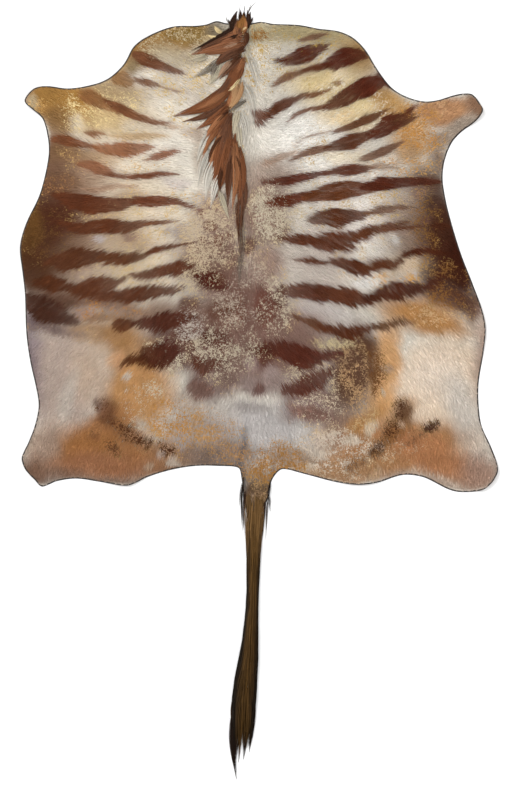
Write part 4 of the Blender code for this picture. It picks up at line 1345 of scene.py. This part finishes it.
# %% Node tree of short hair
def short_hair_tree():
    """Puts a spike on each point, by the point's own attributes way and size."""
    tree, start, end = start_tree("short hair", [SIDES_INPUT, ("Width", "NodeSocketFloat", 1.0), LOOK_INPUT])
    add = tree.nodes.new
    spike = add("GeometryNodeMeshCone")
    spike.fill_type = "NGON"
    for label, value in (("Side Segments", 1), ("Radius Top", 0.0), ("Depth", 1.0)):
        spike.inputs[label].default_value = value
    place_node = add("GeometryNodeInputPosition")
    split = add("ShaderNodeSeparateXYZ")
    keep_height = add("GeometryNodeStoreNamedAttribute")
    keep_height.inputs["Name"].default_value = "along"
    point_way = add("FunctionNodeAlignRotationToVector")
    point_way.axis = "Z"
    back_up = add("FunctionNodeAlignRotationToVector")
    back_up.axis = "Y"
    back_up.pivot_axis = "Z"
    back_up.inputs["Vector"].default_value = (0, 0, 1)
    plant = add("GeometryNodeInstanceOnPoints")
    real = add("GeometryNodeRealizeInstances")
    painted = add("GeometryNodeSetMaterial")
    wire(
        tree,
        (start.outputs["Sides"], spike.inputs["Vertices"]),
        (start.outputs["Width"], spike.inputs["Radius Bottom"]),
        (spike.outputs["Mesh"], keep_height.inputs["Geometry"]),
        (place_node.outputs[0], split.inputs[0]),
        (split.outputs["Z"], keep_height.inputs["Value"]),
        (named(tree, "way", "FLOAT_VECTOR"), point_way.inputs["Vector"]),
        (point_way.outputs[0], back_up.inputs["Rotation"]),
        (start.outputs["Geometry"], plant.inputs["Points"]),
        (keep_height.outputs["Geometry"], plant.inputs["Instance"]),
        (back_up.outputs[0], plant.inputs["Rotation"]),
        (named(tree, "size", "FLOAT_VECTOR"), plant.inputs["Scale"]),
        (plant.outputs["Instances"], real.inputs["Geometry"]),
        (real.outputs["Geometry"], painted.inputs["Geometry"]),
        (start.outputs["Look"], painted.inputs["Material"]),
        (painted.outputs["Geometry"], end.inputs["Geometry"]),
    )
    return tree


short_hair = short_hair_tree()
print("short hair:", len(short_hair.nodes), "nodes")

# %% Node tree of long hair
def long_hair_tree():
    """Draws each chain of edges out as a closed hair, by its points' own attribute thick."""
    tree, start, end = start_tree("long hair", [SIDES_INPUT, LOOK_INPUT])
    add = tree.nodes.new
    chain = add("GeometryNodeMeshToCurve")
    section = add("GeometryNodeCurvePrimitiveCircle")
    section.inputs["Radius"].default_value = 1.0
    drawn = add("GeometryNodeCurveToMesh")
    drawn.inputs["Fill Caps"].default_value = True
    real = add("GeometryNodeRealizeInstances")
    painted = add("GeometryNodeSetMaterial")
    wire(
        tree,
        (start.outputs["Geometry"], chain.inputs["Mesh"]),
        (start.outputs["Sides"], section.inputs["Resolution"]),
        (chain.outputs["Curve"], drawn.inputs["Curve"]),
        (section.outputs["Curve"], drawn.inputs["Profile Curve"]),
        (named(tree, "thick", "FLOAT"), drawn.inputs["Scale"]),
        (drawn.outputs["Mesh"], real.inputs["Geometry"]),
        (real.outputs["Geometry"], painted.inputs["Geometry"]),
        (start.outputs["Look"], painted.inputs["Material"]),
        (painted.outputs["Geometry"], end.inputs["Geometry"]),
    )
    return tree


long_hair = long_hair_tree()
print("long hair:", len(long_hair.nodes), "nodes")

# %% Growing hair with a tree
UV_SPAN = 0.98


def grow(name, roots, tree, look, **settings):
    """Runs a tree on a mesh of points or chains and keeps the result as a plain mesh."""
    holder = bpy.data.objects.new(f"{name}_roots", roots)
    bpy.context.scene.collection.objects.link(holder)
    modifier = holder.modifiers.new("hair", "NODES")
    modifier.node_group = tree
    sockets = {s.name: s.identifier for s in tree.interface.items_tree if s.in_out == "INPUT"}
    for label, value in {"Look": look, **settings}.items():
        modifier[sockets[label]] = value
    evaluated = bpy.context.evaluated_depsgraph_get()
    mesh = bpy.data.meshes.new_from_object(holder.evaluated_get(evaluated), depsgraph=evaluated)
    bpy.data.objects.remove(holder)
    places = np.zeros(len(mesh.vertices) * 3, np.float32)
    mesh.vertices.foreach_get("co", places)
    flat = places.reshape(-1, 3)[:, :2]
    flat = (flat - flat.min(axis=0)) / np.ptp(flat, axis=0) * UV_SPAN + UV_MARGIN
    corners = np.zeros(len(mesh.loops), np.int32)
    mesh.loops.foreach_get("vertex_index", corners)
    mesh.uv_layers.new(name="OFBake").data.foreach_set("uv", flat[corners].astype(np.float32).ravel())
    mesh.shade_smooth()
    piece = finish_piece(name, mesh, look)
    triangles = len(mesh.loops) - 2 * len(mesh.polygons)
    print(f"{name}: {triangles} triangles, open sides: {open_sides(mesh)}")
    return piece


print("hair is unwrapped as seen from above, from", UV_MARGIN, "to", UV_MARGIN + UV_SPAN)

# %% Roots of the short coat
HAIR_PITCH = 3.5 * MM
HAIR_LENGTH = 25 * MM
HAIR_WIDTH = 1.5 * MM
HAIR_THICK = 0.8 * MM
BARE = 4.0 * MM
SLEEVE_START = -0.79
MID_BACK = -0.02


def hair_lengths(x, y, way):
    """A length for each hair, cut back near the rim until its tip is inside it."""
    length = HAIR_LENGTH * (1 + 0.22 * noise(x, y, 0.03, 121) + rng.uniform(-0.18, 0.18, len(x)))
    for _ in range(9):
        over = room(x + way[:, 0] * length, y + way[:, 1] * length) < BARE
        length = np.where(over, length * 0.78, length)
    return length


def hair_roots(x, y):
    """A mesh of bare points that holds all that the tree needs to know of each hair."""
    count = len(x)
    way = lie(x, y)
    stray = np.radians(rng.normal(0, 7, count))
    cos, sin = np.cos(stray), np.sin(stray)
    way = np.stack([way[:, 0] * cos - way[:, 1] * sin, way[:, 0] * sin + way[:, 1] * cos], axis=1)
    length = hair_lengths(x, y, way)
    height = skin_top(x, y)
    tip_height = skin_top(x + way[:, 0] * length, y + way[:, 1] * length)
    rise = rng.uniform(2.6 * MM, 4.6 * MM, count) * np.clip(length / HAIR_LENGTH, 0.3, 1)
    pointing = np.column_stack([way, (tip_height - height + rise) / length])
    size = np.column_stack([
        HAIR_WIDTH * rng.uniform(0.75, 1.2, count),
        np.full(count, HAIR_THICK),
        length,
    ])
    mesh = bpy.data.meshes.new("hair roots")
    mesh.vertices.add(count)
    mesh.vertices.foreach_set("co", np.column_stack([x, y, height - 0.2 * MM]).astype(np.float32).ravel())
    put_attribute(mesh, "way", "FLOAT_VECTOR", pointing)
    put_attribute(mesh, "size", "FLOAT_VECTOR", size)
    put_attribute(mesh, "own", "FLOAT", rng.random(count))
    write_coat_attributes(mesh, x, y)
    return mesh


def coat_pieces():
    """The coat in four pieces, split along the spine and across the middle of the back."""
    x, y = staggered(edge.min(axis=0), edge.max(axis=0), HAIR_PITCH, 0.42)
    keep = (room(x, y) > BARE) & (y > SLEEVE_START)
    x, y = x[keep], y[keep]
    left, fore = x < SPINE_LINE, y > MID_BACK
    quarters = {
        "coat_left_fore": left & fore,
        "coat_right_fore": ~left & fore,
        "coat_left_hind": left & ~fore,
        "coat_right_hind": ~left & ~fore,
    }
    print("hairs:", len(x))
    return [
        grow(name, hair_roots(x[own], y[own]), short_hair, coat_look, Sides=3, Width=1.0)
        for name, own in quarters.items()
    ]


coat = coat_pieces()

# %% [markdown]
# ## Long hair
#
# Mane, nape and tail are locks: bundles of long hairs that leave the skin side by side, swell, and run
# together to a point. A lock is charted as the path of its middle, with its width in chart squares, how
# high it lies and how many hairs it has for each square of its width. Each hair keeps its own place across
# the lock and ends a little before or after its neighbours. Hairs towards the lock's sides and low in its
# stack are darker, painted shade of the rounded lock, so that one lock stands out from the next.

# %% Tones of long hair
HAIR_RINGS = 9
# Just over a full turn in radians, for a wave that may start anywhere.
ANY_PHASE = 6.3
OFF_FLOOR = 0.4 * MM
BESIDE = 0.03
TONES = {
    "red": "71452b",
    "light": "8a5c3d",
    "brown": "5c3c2b",
    "purple": "7f5339",
    "dark": "2b1a10",
    "umber": "4a2c1b",
    "ink": "170d07",
    "olive": "3f2c14",
    "amber": "7e552c",
    "cream": "c2ae84",
    "tan": "a08068",
    "fawn": "a9845f",
    "sand": "b3a993",
    "mist": "bfb9ae",
    "ash": "6a6156",
}
HairLock = namedtuple("HairLock", "tone width level path fill", defaults=(5.0,))
print("tones:", ", ".join(TONES))

# %% Locks into hairs
def hair_ground(x, y):
    """What long hair lies on: the coat, and past the cut edge the floor."""
    return coat_top(x, y) * ease(-0.022, 0.003, room(x, y))


def lock_profile(t):
    """Half a lock's width along it, as a share of its widest."""
    return (0.62 + 0.38 * ease(0, 0.3, t)) * (1 - 0.93 * np.clip((t - 0.35) / 0.65, 0, 1) ** 1.5)


def on_path(path, reach, t):
    """Places on a path, at shares t of its length. Reach is the share at each of its points."""
    return np.stack([np.interp(t, reach, path[:, k]) for k in (0, 1)], axis=-1)


def lock_hairs(lock, thick, ground, spread=0.25):
    """The hairs of one lock: their points, thicknesses, colours and own tones."""
    path = spline(place(lock.path), 2 * MM)
    steps = np.linalg.norm(np.diff(path, axis=0), axis=1)
    reach = np.concatenate([[0], np.cumsum(steps)]) / steps.sum()
    count = max(3, round(lock.width * lock.fill))
    # Shuffled, so that the hairs that run to the very tip stand anywhere across the lock.
    across = np.clip(np.linspace(-1, 1, count) + rng.normal(0, 0.08, count), -1, 1)
    rng.shuffle(across)
    # Hairs at the sides end sooner, and one in six runs to the tip.
    start = rng.uniform(0, spread, count)
    stop = rng.uniform(0.8, 1.0, count) - 0.16 * abs(across)
    stop[: max(1, count // 6)] = 1.0
    t = start[:, None] + (stop - start)[:, None] * np.linspace(0, 1, HAIR_RINGS)
    # The path's direction at each point, taken a little behind and ahead of it.
    way = on_path(path, reach, t + BESIDE) - on_path(path, reach, t - BESIDE)
    way /= np.linalg.norm(way, axis=-1)[..., None]
    aside = np.stack([-way[..., 1], way[..., 0]], axis=-1)
    sway = 0.06 * np.sin(rng.uniform(0, ANY_PHASE, (count, 1)) + 5 * t)
    offset = (across[:, None] * lock_profile(t) + sway * (1 - t)) * lock.width / 2 * SQUARE
    flat = on_path(path, reach, t) + aside * offset[..., None]
    step = np.linspace(0, 1, HAIR_RINGS)
    girth = thick * rng.uniform(0.8, 1.15, (count, 1)) * (0.75 + 0.25 * ease(0, 0.3, step))
    girth *= 1 - 0.88 * step**2.2
    # A lock is rounded: hairs in its middle lie higher, and those at its sides are darker.
    rounded = np.sqrt(np.clip(1 - 0.8 * across[:, None] ** 2, 0, 1))
    stack = rng.uniform(0, 1, (count, 1)) ** 0.6
    height = lock.level * MM * (0.25 + 0.75 * stack * rounded) * (1 - t**2.4) * ease(-0.12, 0.12, t)
    points = np.concatenate([flat, (ground(*np.moveaxis(flat, -1, 0)) + girth + height)[..., None]], axis=-1)
    tone = colour(TONES[lock.tone])
    # Painted shade: hairs at a lock's sides are mixed towards the dark tone, and hairs low in the stack are
    # darker. Each hair also gets its own tone.
    sides = ease(0.62, 1.0, abs(across))[:, None] * (0.1 if tone.mean() > 0.25 else 0.26)
    shade = 1 + 0.2 * (stack - 0.5) + rng.normal(0, 0.07, (count, 1))
    colours = (tone * (1 - sides) + colour(TONES["dark"]) * sides) * shade
    return points, girth, colours, rng.random(count)


def hair_chains(bundles):
    """One mesh of chains of edges for all the hairs given."""
    points, girth, colours, own = (np.concatenate(part) for part in zip(*bundles))
    count, rings = girth.shape
    first = np.arange(count)[:, None] * rings + np.arange(rings - 1)
    mesh = bpy.data.meshes.new("hair chains")
    mesh.from_pydata(points.reshape(-1, 3), np.stack([first, first + 1], axis=-1).reshape(-1, 2).tolist(), [])
    put_attribute(mesh, "thick", "FLOAT", girth.ravel())
    put_attribute(mesh, "along", "FLOAT", np.tile(np.linspace(0, 1, rings), count))
    put_attribute(mesh, "own", "FLOAT", np.repeat(own, rings))
    put_attribute(mesh, "ground", "FLOAT_COLOR", np.repeat(np.clip(colours, 0.002, 1), rings, axis=0))
    return mesh


shares = np.linspace(0, 1, 101)
print("a lock is widest", shares[lock_profile(shares).argmax()].round(2), "of the way along")

# %% [markdown]
# ## The mane
#
# The mane is rooted in one line from the nape to the shoulders and has fallen to the left. Thin pale and
# grey hair shows beside it, the top locks are purplish and edged in near-black, and a thin dark line of
# short mane runs on down the spine. Locks that lie on top come later in the table and stand higher.

# %% Locks of the mane
MANE = [
    # pale and grey hair that lies under the mane and beside it
    HairLock("mist", 7, 2, [(212, 128), (201, 148), (195, 166)], 1.4),
    HairLock("mist", 8, 2, [(212, 144), (202, 166), (197, 188)], 1.6),
    HairLock("mist", 9, 2, [(216, 156), (207, 178), (205, 200)], 1.6),
    HairLock("mist", 8, 2, [(220, 172), (214, 190), (210, 208)], 1.6),
    HairLock("sand", 6, 2, [(218, 188), (224, 206), (230, 222)], 1.8),
    HairLock("mist", 8, 1, [(247, 52), (255, 72), (260, 96)], 1.0),
    HairLock("mist", 8, 1, [(242, 80), (251, 98), (254, 118)], 1.0),
    HairLock("mist", 8, 1, [(238, 106), (245, 124), (247, 146)], 1.0),
    HairLock("sand", 9, 4, [(238, 108), (234, 122), (232, 138)], 2.2),
    HairLock("sand", 8, 1.5, [(236, 120), (238, 140), (243, 158)], 1.6),
    HairLock("sand", 8, 2.0, [(222, 62), (214, 76), (206, 88)], 1.6),
    HairLock("ash", 6, 2.0, [(220, 58), (206, 70), (190, 78)], 1.2),
    HairLock("ash", 6, 2.5, [(218, 62), (213, 73), (211, 83)], 2.2),
    HairLock("sand", 6, 2.0, [(208, 54), (198, 58), (186, 60)], 1.4),
    HairLock("sand", 5, 2.0, [(248, 44), (247, 53), (243, 62)], 1.4),
    # the end of the mane
    HairLock("brown", 9, 3, [(240, 172), (243, 194), (242, 218)], 2.4),
    HairLock("brown", 8, 2, [(240, 192), (239, 214), (239, 238)], 1.6),
    HairLock("umber", 7, 2, [(240, 204), (239, 224), (240, 244)], 1.2),
    HairLock("umber", 4, 1, [(239, 222), (240, 244), (241, 266)], 1.0),
    HairLock("ash", 4, 1, [(241, 214), (242, 240), (242, 268)], 0.8),
    HairLock("ash", 3, 1, [(240, 252), (239, 270), (238, 288)], 0.8),
    HairLock("red", 11, 6, [(236, 144), (241, 178), (238, 209)]),
    HairLock("light", 9, 8, [(234, 140), (236, 176), (232, 209)]),
    HairLock("brown", 9, 7, [(234, 142), (229, 172), (227, 207)]),
    HairLock("red", 13, 6, [(232, 132), (226, 164), (216, 197)]),
    HairLock("umber", 4, 8, [(231, 152), (227, 178), (227, 205)]),
    HairLock("umber", 4, 9, [(234, 152), (239, 166), (240, 182)]),
    HairLock("umber", 4, 8, [(222, 166), (219, 182), (220, 195)]),
    # over the shoulder
    HairLock("light", 4, 4, [(222, 122), (208, 142), (199, 167)]),
    HairLock("light", 7, 5, [(226, 124), (214, 150), (207, 175)]),
    HairLock("red", 14, 6, [(229, 122), (219, 156), (213, 192)]),
    HairLock("brown", 9, 7, [(230, 116), (222, 146), (217, 176)]),
    HairLock("umber", 5, 7, [(224, 132), (212, 150), (206, 167)]),
    HairLock("light", 8, 6, [(226, 112), (212, 128), (202, 142)]),
    HairLock("red", 12, 6, [(230, 110), (214, 130), (204, 150)]),
    HairLock("brown", 8, 8, [(231, 112), (222, 130), (213, 150)]),
    HairLock("red", 9, 7, [(229, 117), (226, 133), (227, 150)]),
    HairLock("red", 9, 6, [(229, 104), (213, 118), (196, 129)]),
    HairLock("brown", 7, 5, [(228, 100), (208, 114), (181, 122)]),
    HairLock("umber", 4, 7, [(230, 108), (216, 122), (204, 136)]),
    HairLock("ash", 3, 6, [(246, 100), (236, 106), (225, 113)]),
    HairLock("fawn", 11, 8, [(240, 80), (235, 97), (227, 112)]),
    HairLock("light", 7, 5, [(238, 84), (230, 100), (222, 112)]),
    HairLock("red", 14, 6, [(232, 84), (212, 102), (173, 116)]),
    HairLock("light", 7, 8, [(228, 90), (208, 104), (184, 112)]),
    HairLock("cream", 4, 8, [(240, 78), (233, 87), (220, 94)]),
    HairLock("red", 12, 6, [(240, 66), (226, 88), (202, 105)]),
    HairLock("brown", 6, 8, [(232, 76), (218, 94), (202, 104)]),
    # the neck
    HairLock("red", 12, 7, [(244, 56), (233, 78), (214, 99)]),
    HairLock("brown", 9, 6, [(241, 56), (230, 68), (219, 79)]),
    HairLock("tan", 5, 8, [(232, 60), (224, 68), (216, 80)]),
    HairLock("umber", 5, 8, [(240, 54), (232, 64), (228, 75)]),
    HairLock("light", 5, 9, [(245, 56), (238, 70), (230, 82)]),
    HairLock("brown", 11, 7, [(245, 48), (228, 54), (211, 68)]),
    # This narrow umber lock is painted shade between the locks on either side of it.
    HairLock("umber", 5, 8, [(244, 46), (236, 51), (220, 54)]),
    HairLock("purple", 13, 7, [(246, 40), (226, 46), (191, 54)]),
    HairLock("purple", 12, 8, [(244, 32), (226, 38), (206, 46)]),
    HairLock("tan", 5, 9, [(238, 42), (228, 46), (214, 52)]),
    HairLock("brown", 7, 8, [(238, 30), (218, 40), (194, 52)]),
    HairLock("dark", 4, 8, [(236, 27), (214, 39), (190, 51)]),
    HairLock("brown", 7, 9, [(244, 27), (234, 33), (222, 35)]),
    HairLock("dark", 4, 10, [(238, 34), (229, 38), (224, 34)]),
    HairLock("umber", 5, 9, [(246, 30), (246, 40), (242, 50)]),
    HairLock("light", 5, 10, [(237, 26), (235, 34), (241, 41)]),
    HairLock("cream", 3, 10, [(246, 26), (243, 31), (244, 37)]),
    HairLock("cream", 4, 5, [(222, 32), (218, 31), (213, 25)]),
    HairLock("cream", 3, 4, [(217, 37), (212, 37), (207, 34)]),
]
MANE_HAIR = 1.25 * MM

mane = grow(
    "mane_hair",
    hair_chains([lock_hairs(lock, MANE_HAIR, hair_ground) for lock in MANE]),
    long_hair,
    mane_look,
    Sides=3,
)

# %% [markdown]
# ## The nape tuft
#
# At the cut across the neck the last of the mane stands out past the edge: stiff dark points round a
# red-brown middle, and a few thin grey hairs. Past the edge it bends down to the floor.

# %% Locks of the nape
NAPE = [
    HairLock("dark", 6, 3, [(231, 31), (233, 20), (237, 10)], 6),
    HairLock("brown", 6, 4, [(234, 34), (236, 26), (237, 18)], 5),
    HairLock("dark", 4, 3, [(239, 26), (240, 18), (240, 9)], 6),
    HairLock("dark", 4, 3, [(242, 22), (243, 17), (244, 11)], 6),
    HairLock("dark", 5, 3, [(246, 29), (248, 20), (250, 11)], 6),
    HairLock("dark", 3, 3, [(246, 24), (247, 17), (247, 9)], 6),
    HairLock("amber", 6, 7, [(237, 33), (239, 24), (240, 15)], 6),
    HairLock("amber", 9, 8, [(241, 34), (243, 23), (243, 12)], 6),
    HairLock("light", 4, 9, [(243, 34), (245, 25), (245, 16)]),
    HairLock("dark", 2, 1, [(231, 27), (229, 22), (227, 18)], 3),
    HairLock("dark", 2, 1, [(248, 25), (251, 20), (253, 16)], 3),
    HairLock("dark", 4, 4, [(240, 31), (231, 29), (223, 31)], 4),
]
NAPE_WISPS = [
    HairLock("dark", 0.6, 0, [(238, 18), (239, 9), (240, 2)]),
    HairLock("dark", 0.6, 0, [(242, 18), (244, 8), (245, 1)]),
    HairLock("ash", 0.6, 0, [(246, 16), (249, 8), (251, 1)]),
    HairLock("dark", 0.6, 0, [(246, 16), (251, 6), (257, 0)]),
    HairLock("ash", 0.6, 0, [(229, 24), (226, 19), (226, 15)]),
]
WISP_HAIR = 0.55 * MM

nape = grow(
    "nape_tuft_hair",
    hair_chains(
        [lock_hairs(lock, MANE_HAIR, hair_ground) for lock in NAPE]
        + [lock_hairs(lock, WISP_HAIR, hair_ground, 0.05) for lock in NAPE_WISPS]
    ),
    long_hair,
    mane_look,
    Sides=3,
)

# %% [markdown]
# ## The tail
#
# Below its bare root the tail is a sleeve of long hair all round a thin strip of skin. Each hair starts
# somewhere on that strip, keeps its place across the sleeve and runs down it, so the sleeve's own table of
# widths and heights shapes them all. The middle is olive-brown and the sides near-black, darker hair there
# with painted shade of the rounded sleeve. The end breaks into separate points.

# %% Sleeve of the tail
Sleeve = namedtuple("Sleeve", "row left right height")
SLEEVE = [
    Sleeve(488, 242, 269, 4),
    Sleeve(504, 243.5, 266.5, 7),
    Sleeve(530, 244.5, 262.5, 12),
    Sleeve(560, 246, 260, 16),
    Sleeve(590, 246, 258.5, 18),
    Sleeve(610, 245, 258, 20),
    Sleeve(640, 241.5, 258, 24),
    Sleeve(660, 237.5, 258, 27),
    Sleeve(680, 233.5, 257, 29),
    Sleeve(700, 231, 256, 29),
    Sleeve(720, 231, 254, 26),
    Sleeve(740, 231.5, 251.5, 17),
    Sleeve(760, 234.5, 248, 6),
    Sleeve(775, 236, 243, 2),
]
TAIL_HAIRS = 1250
TAIL_HAIR = 1.3 * MM
TAIL_WISP = 0.9 * MM
# Rows of the chart: where hairs are rooted, where the last tips end, and where the bare strip ends.
FIRST_ROOT, LAST_ROOT = 492, 700
LAST_TIP = 748
SHORTEST_RUN, LONGEST_RUN = 38, 72
SKIN_END = 520
print("rows of the sleeve:", SLEEVE[0].row, "to", SLEEVE[-1].row)

# %% Hairs of the sleeve
SIDE_HAIR_AND_SHADE_TONE, MIDDLE_TONE, ROOT_TONE = "150e07", "4d3618", "80603a"
# Hairs rooted over the first two rows grow darker down the tail, and over the next two paler up to its root.
DARKER_ROWS = (600, 720)
PALER_ROWS = (545, 490)


def sleeve_hairs(count):
    """Hairs that run down the sleeve, from all along it."""
    table = np.array(SLEEVE, float)
    # More roots stand further down, where the sleeve is wide.
    begin = FIRST_ROOT + (LAST_ROOT - FIRST_ROOT) * rng.random(count) ** 0.85
    run = rng.uniform(SHORTEST_RUN, LONGEST_RUN, count)
    stop = np.minimum(begin + run, LAST_TIP - 26 * rng.random(count) ** 1.6)
    across = rng.uniform(-1, 1, count)
    across = np.sign(across) * abs(across) ** 0.8
    layer = rng.random(count) ** 0.35
    step = np.linspace(0, 1, HAIR_RINGS)
    row = begin[:, None] + (stop - begin)[:, None] * step
    left, right, top = (np.interp(row, table[:, 0], table[:, k]) for k in (1, 2, 3))
    spread = across[:, None] * (0.72 + 0.28 * ease(0, 0.5, step))
    drift = 0.05 * np.sin(rng.uniform(0, ANY_PHASE, (count, 1)) + 4 * step)
    column = (left + right) / 2 + np.clip(spread + drift, -1, 1) * (right - left) / 2 * 0.97
    girth = TAIL_HAIR * rng.uniform(0.8, 1.15, (count, 1)) * (1 - 0.85 * step**2.4)
    dome = np.sqrt(np.clip(1 - across**2, 0.02, 1))[:, None]
    height = top * MM * dome * layer[:, None] * ease(-0.2, 0.12, step) * (1 - 0.25 * step**2)
    flat = place(np.stack([column.ravel(), row.ravel()], axis=1)).reshape(count, HAIR_RINGS, 2)
    skin_here = np.where(row < SKIN_END, coat_top(*np.moveaxis(flat, -1, 0)), OFF_FLOOR)
    points = np.concatenate([flat, (np.maximum(height, skin_here) + girth)[..., None]], axis=-1)
    # The sleeve's sides are near-black: darker hair, and painted shade where the rounded sleeve turns away.
    middle = ease(0.92, 0.25, abs(across - 0.05))[:, None]
    lower = ease(*DARKER_ROWS, begin)[:, None]
    colours = colour(SIDE_HAIR_AND_SHADE_TONE) * (1 - middle) + colour(MIDDLE_TONE) * middle * (1 - 0.4 * lower)
    upper = ease(*PALER_ROWS, begin)[:, None] * 0.55
    colours = colours * (1 - upper) + colour(ROOT_TONE) * upper
    return points, girth, colours * rng.uniform(0.7, 1.3, (count, 1)), rng.random(count)


print("roots from row", FIRST_ROOT, "to row", LAST_ROOT)

# %% Switch and wisps of the tail
SWITCH = [
    HairLock("ink", 7, 9, [(236, 700), (232, 738), (236, 779)]),
    HairLock("ink", 6, 10, [(238, 706), (236, 742), (234, 768)]),
    HairLock("olive", 5, 12, [(243, 690), (240, 730), (238, 762)]),
    HairLock("ink", 6, 10, [(246, 704), (245, 736), (243, 759)]),
    HairLock("olive", 5, 13, [(248, 686), (247, 720), (245, 748)]),
    HairLock("ink", 5, 8, [(251, 700), (251, 730), (249, 752)]),
    HairLock("dark", 3, 4, [(254, 696), (253, 722), (250, 745)]),
    HairLock("dark", 4, 6, [(240, 660), (235, 684), (232, 704)]),
    HairLock("dark", 4, 5, [(236, 690), (232, 708), (231, 724)]),
    HairLock("dark", 4, 5, [(234, 710), (232, 728), (231, 746)]),
    HairLock("dark", 3, 4, [(255, 670), (255, 690), (253, 712)]),
]
TAIL_WISPS = [
    HairLock("ink", 1.2, 3, [(243, 476), (241, 502), (242, 532)], 4),
    HairLock("ink", 1.2, 2, [(242, 482), (240, 494), (239, 506)], 2),
    HairLock("dark", 2, 3, [(245, 490), (243, 512), (244, 536)], 4),
    HairLock("ink", 2, 3, [(270, 480), (268, 496), (266, 512)], 3),
    HairLock("ink", 2, 3, [(268, 494), (269, 502), (270, 512)], 2),
    HairLock("dark", 1.2, 3, [(267, 500), (266, 522), (265, 544)], 3),
    HairLock("dark", 2, 3, [(265, 500), (263, 520), (262, 540)], 4),
]


def floor_level(x, y):
    """What the switch lies on."""
    return np.full(np.shape(x), OFF_FLOOR)


tail = grow(
    "tail_hair_strands",
    hair_chains(
        [sleeve_hairs(TAIL_HAIRS)]
        + [lock_hairs(lock, TAIL_HAIR, floor_level) for lock in SWITCH]
        + [lock_hairs(lock, TAIL_WISP, hair_ground, 0.1) for lock in TAIL_WISPS]
    ),
    long_hair,
    tail_look,
    Sides=3,
)

# %% [markdown]
# ## What stands for what
#
# Every piece moves with the pelt's one body and takes the place of the plain solid under it.

# %% Pieces and solids
for piece in (skin, *coat, mane, nape, tail):
    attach(piece, "root")
for piece in (skin, *coat):
    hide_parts("hide")
for piece, node, slot in (
    (mane, "mane", "mane_hair"),
    (nape, "nape_tuft", "nape_hair"),
    (tail, "tail_hair", "tail_hair"),
):
    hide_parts(node)

# %% [markdown]
# ## Floor, light and camera
#
# The pelt lies on a plain pale floor under a wide soft light, as a hide is laid out to be photographed. The
# camera looks straight down through a long lens, so nothing leans. Its frame is worked out from the chart:
# so many squares across and so many down.

# %% Studio
FRAME_ACROSS, FRAME_DOWN = 519, 791
CAMERA_HEIGHT = 12.0
SENSOR = 36.0
FLOOR_HALF = 9


def make_floor():
    """A square of pale floor around the origin."""
    mesh = bpy.data.meshes.new("floor")
    corners = [(FLOOR_HALF * i, FLOOR_HALF * j, 0) for i, j in ((-1, -1), (1, -1), (1, 1), (-1, 1))]
    mesh.from_pydata(corners, [], [(0, 1, 2, 3)])
    material, tree, shader = start_material("pale floor", 0.9, 0.1)
    tone = mixed(tree, "MIX", noise_node(tree, 3, 3), (0.66, 0.66, 0.66, 1), (0.68, 0.68, 0.68, 1))
    tree.links.new(tone, shader.inputs["Base Color"])
    return finish_piece("floor", mesh, material)


def make_light():
    """Even light from all round, and a wide sun that gives the hair its direction."""
    world = bpy.data.worlds.new("soft box")
    world.use_nodes = True
    background = world.node_tree.nodes["Background"]
    background.inputs["Color"].default_value = (1.0, 1.0, 1.0, 1)
    background.inputs["Strength"].default_value = 1.5
    bpy.context.scene.world = world
    sun = bpy.data.lights.new("key", "SUN")
    sun.energy = 1.8
    sun.angle = math.radians(20)
    lamp = bpy.data.objects.new("key", sun)
    lamp.rotation_euler = (math.radians(-32), math.radians(-34), 0)
    bpy.context.scene.collection.objects.link(lamp)


def make_camera():
    """A camera straight above that sees the chart's whole frame."""
    middle = place((FRAME_ACROSS / 2 - 0.5, FRAME_DOWN / 2 - 0.5))[0]
    data = bpy.data.cameras.new("camera")
    data.sensor_width = SENSOR
    data.lens = SENSOR * CAMERA_HEIGHT / (FRAME_DOWN * SQUARE)
    data.clip_end = 100
    camera = bpy.data.objects.new("camera", data)
    camera.location = (middle[0], middle[1], CAMERA_HEIGHT)
    bpy.context.scene.collection.objects.link(camera)
    bpy.context.scene.camera = camera


make_floor()
make_light()
make_camera()
bpy.context.scene.view_settings.view_transform = "Standard"
print("lens:", round(bpy.context.scene.camera.data.lens), "mm")
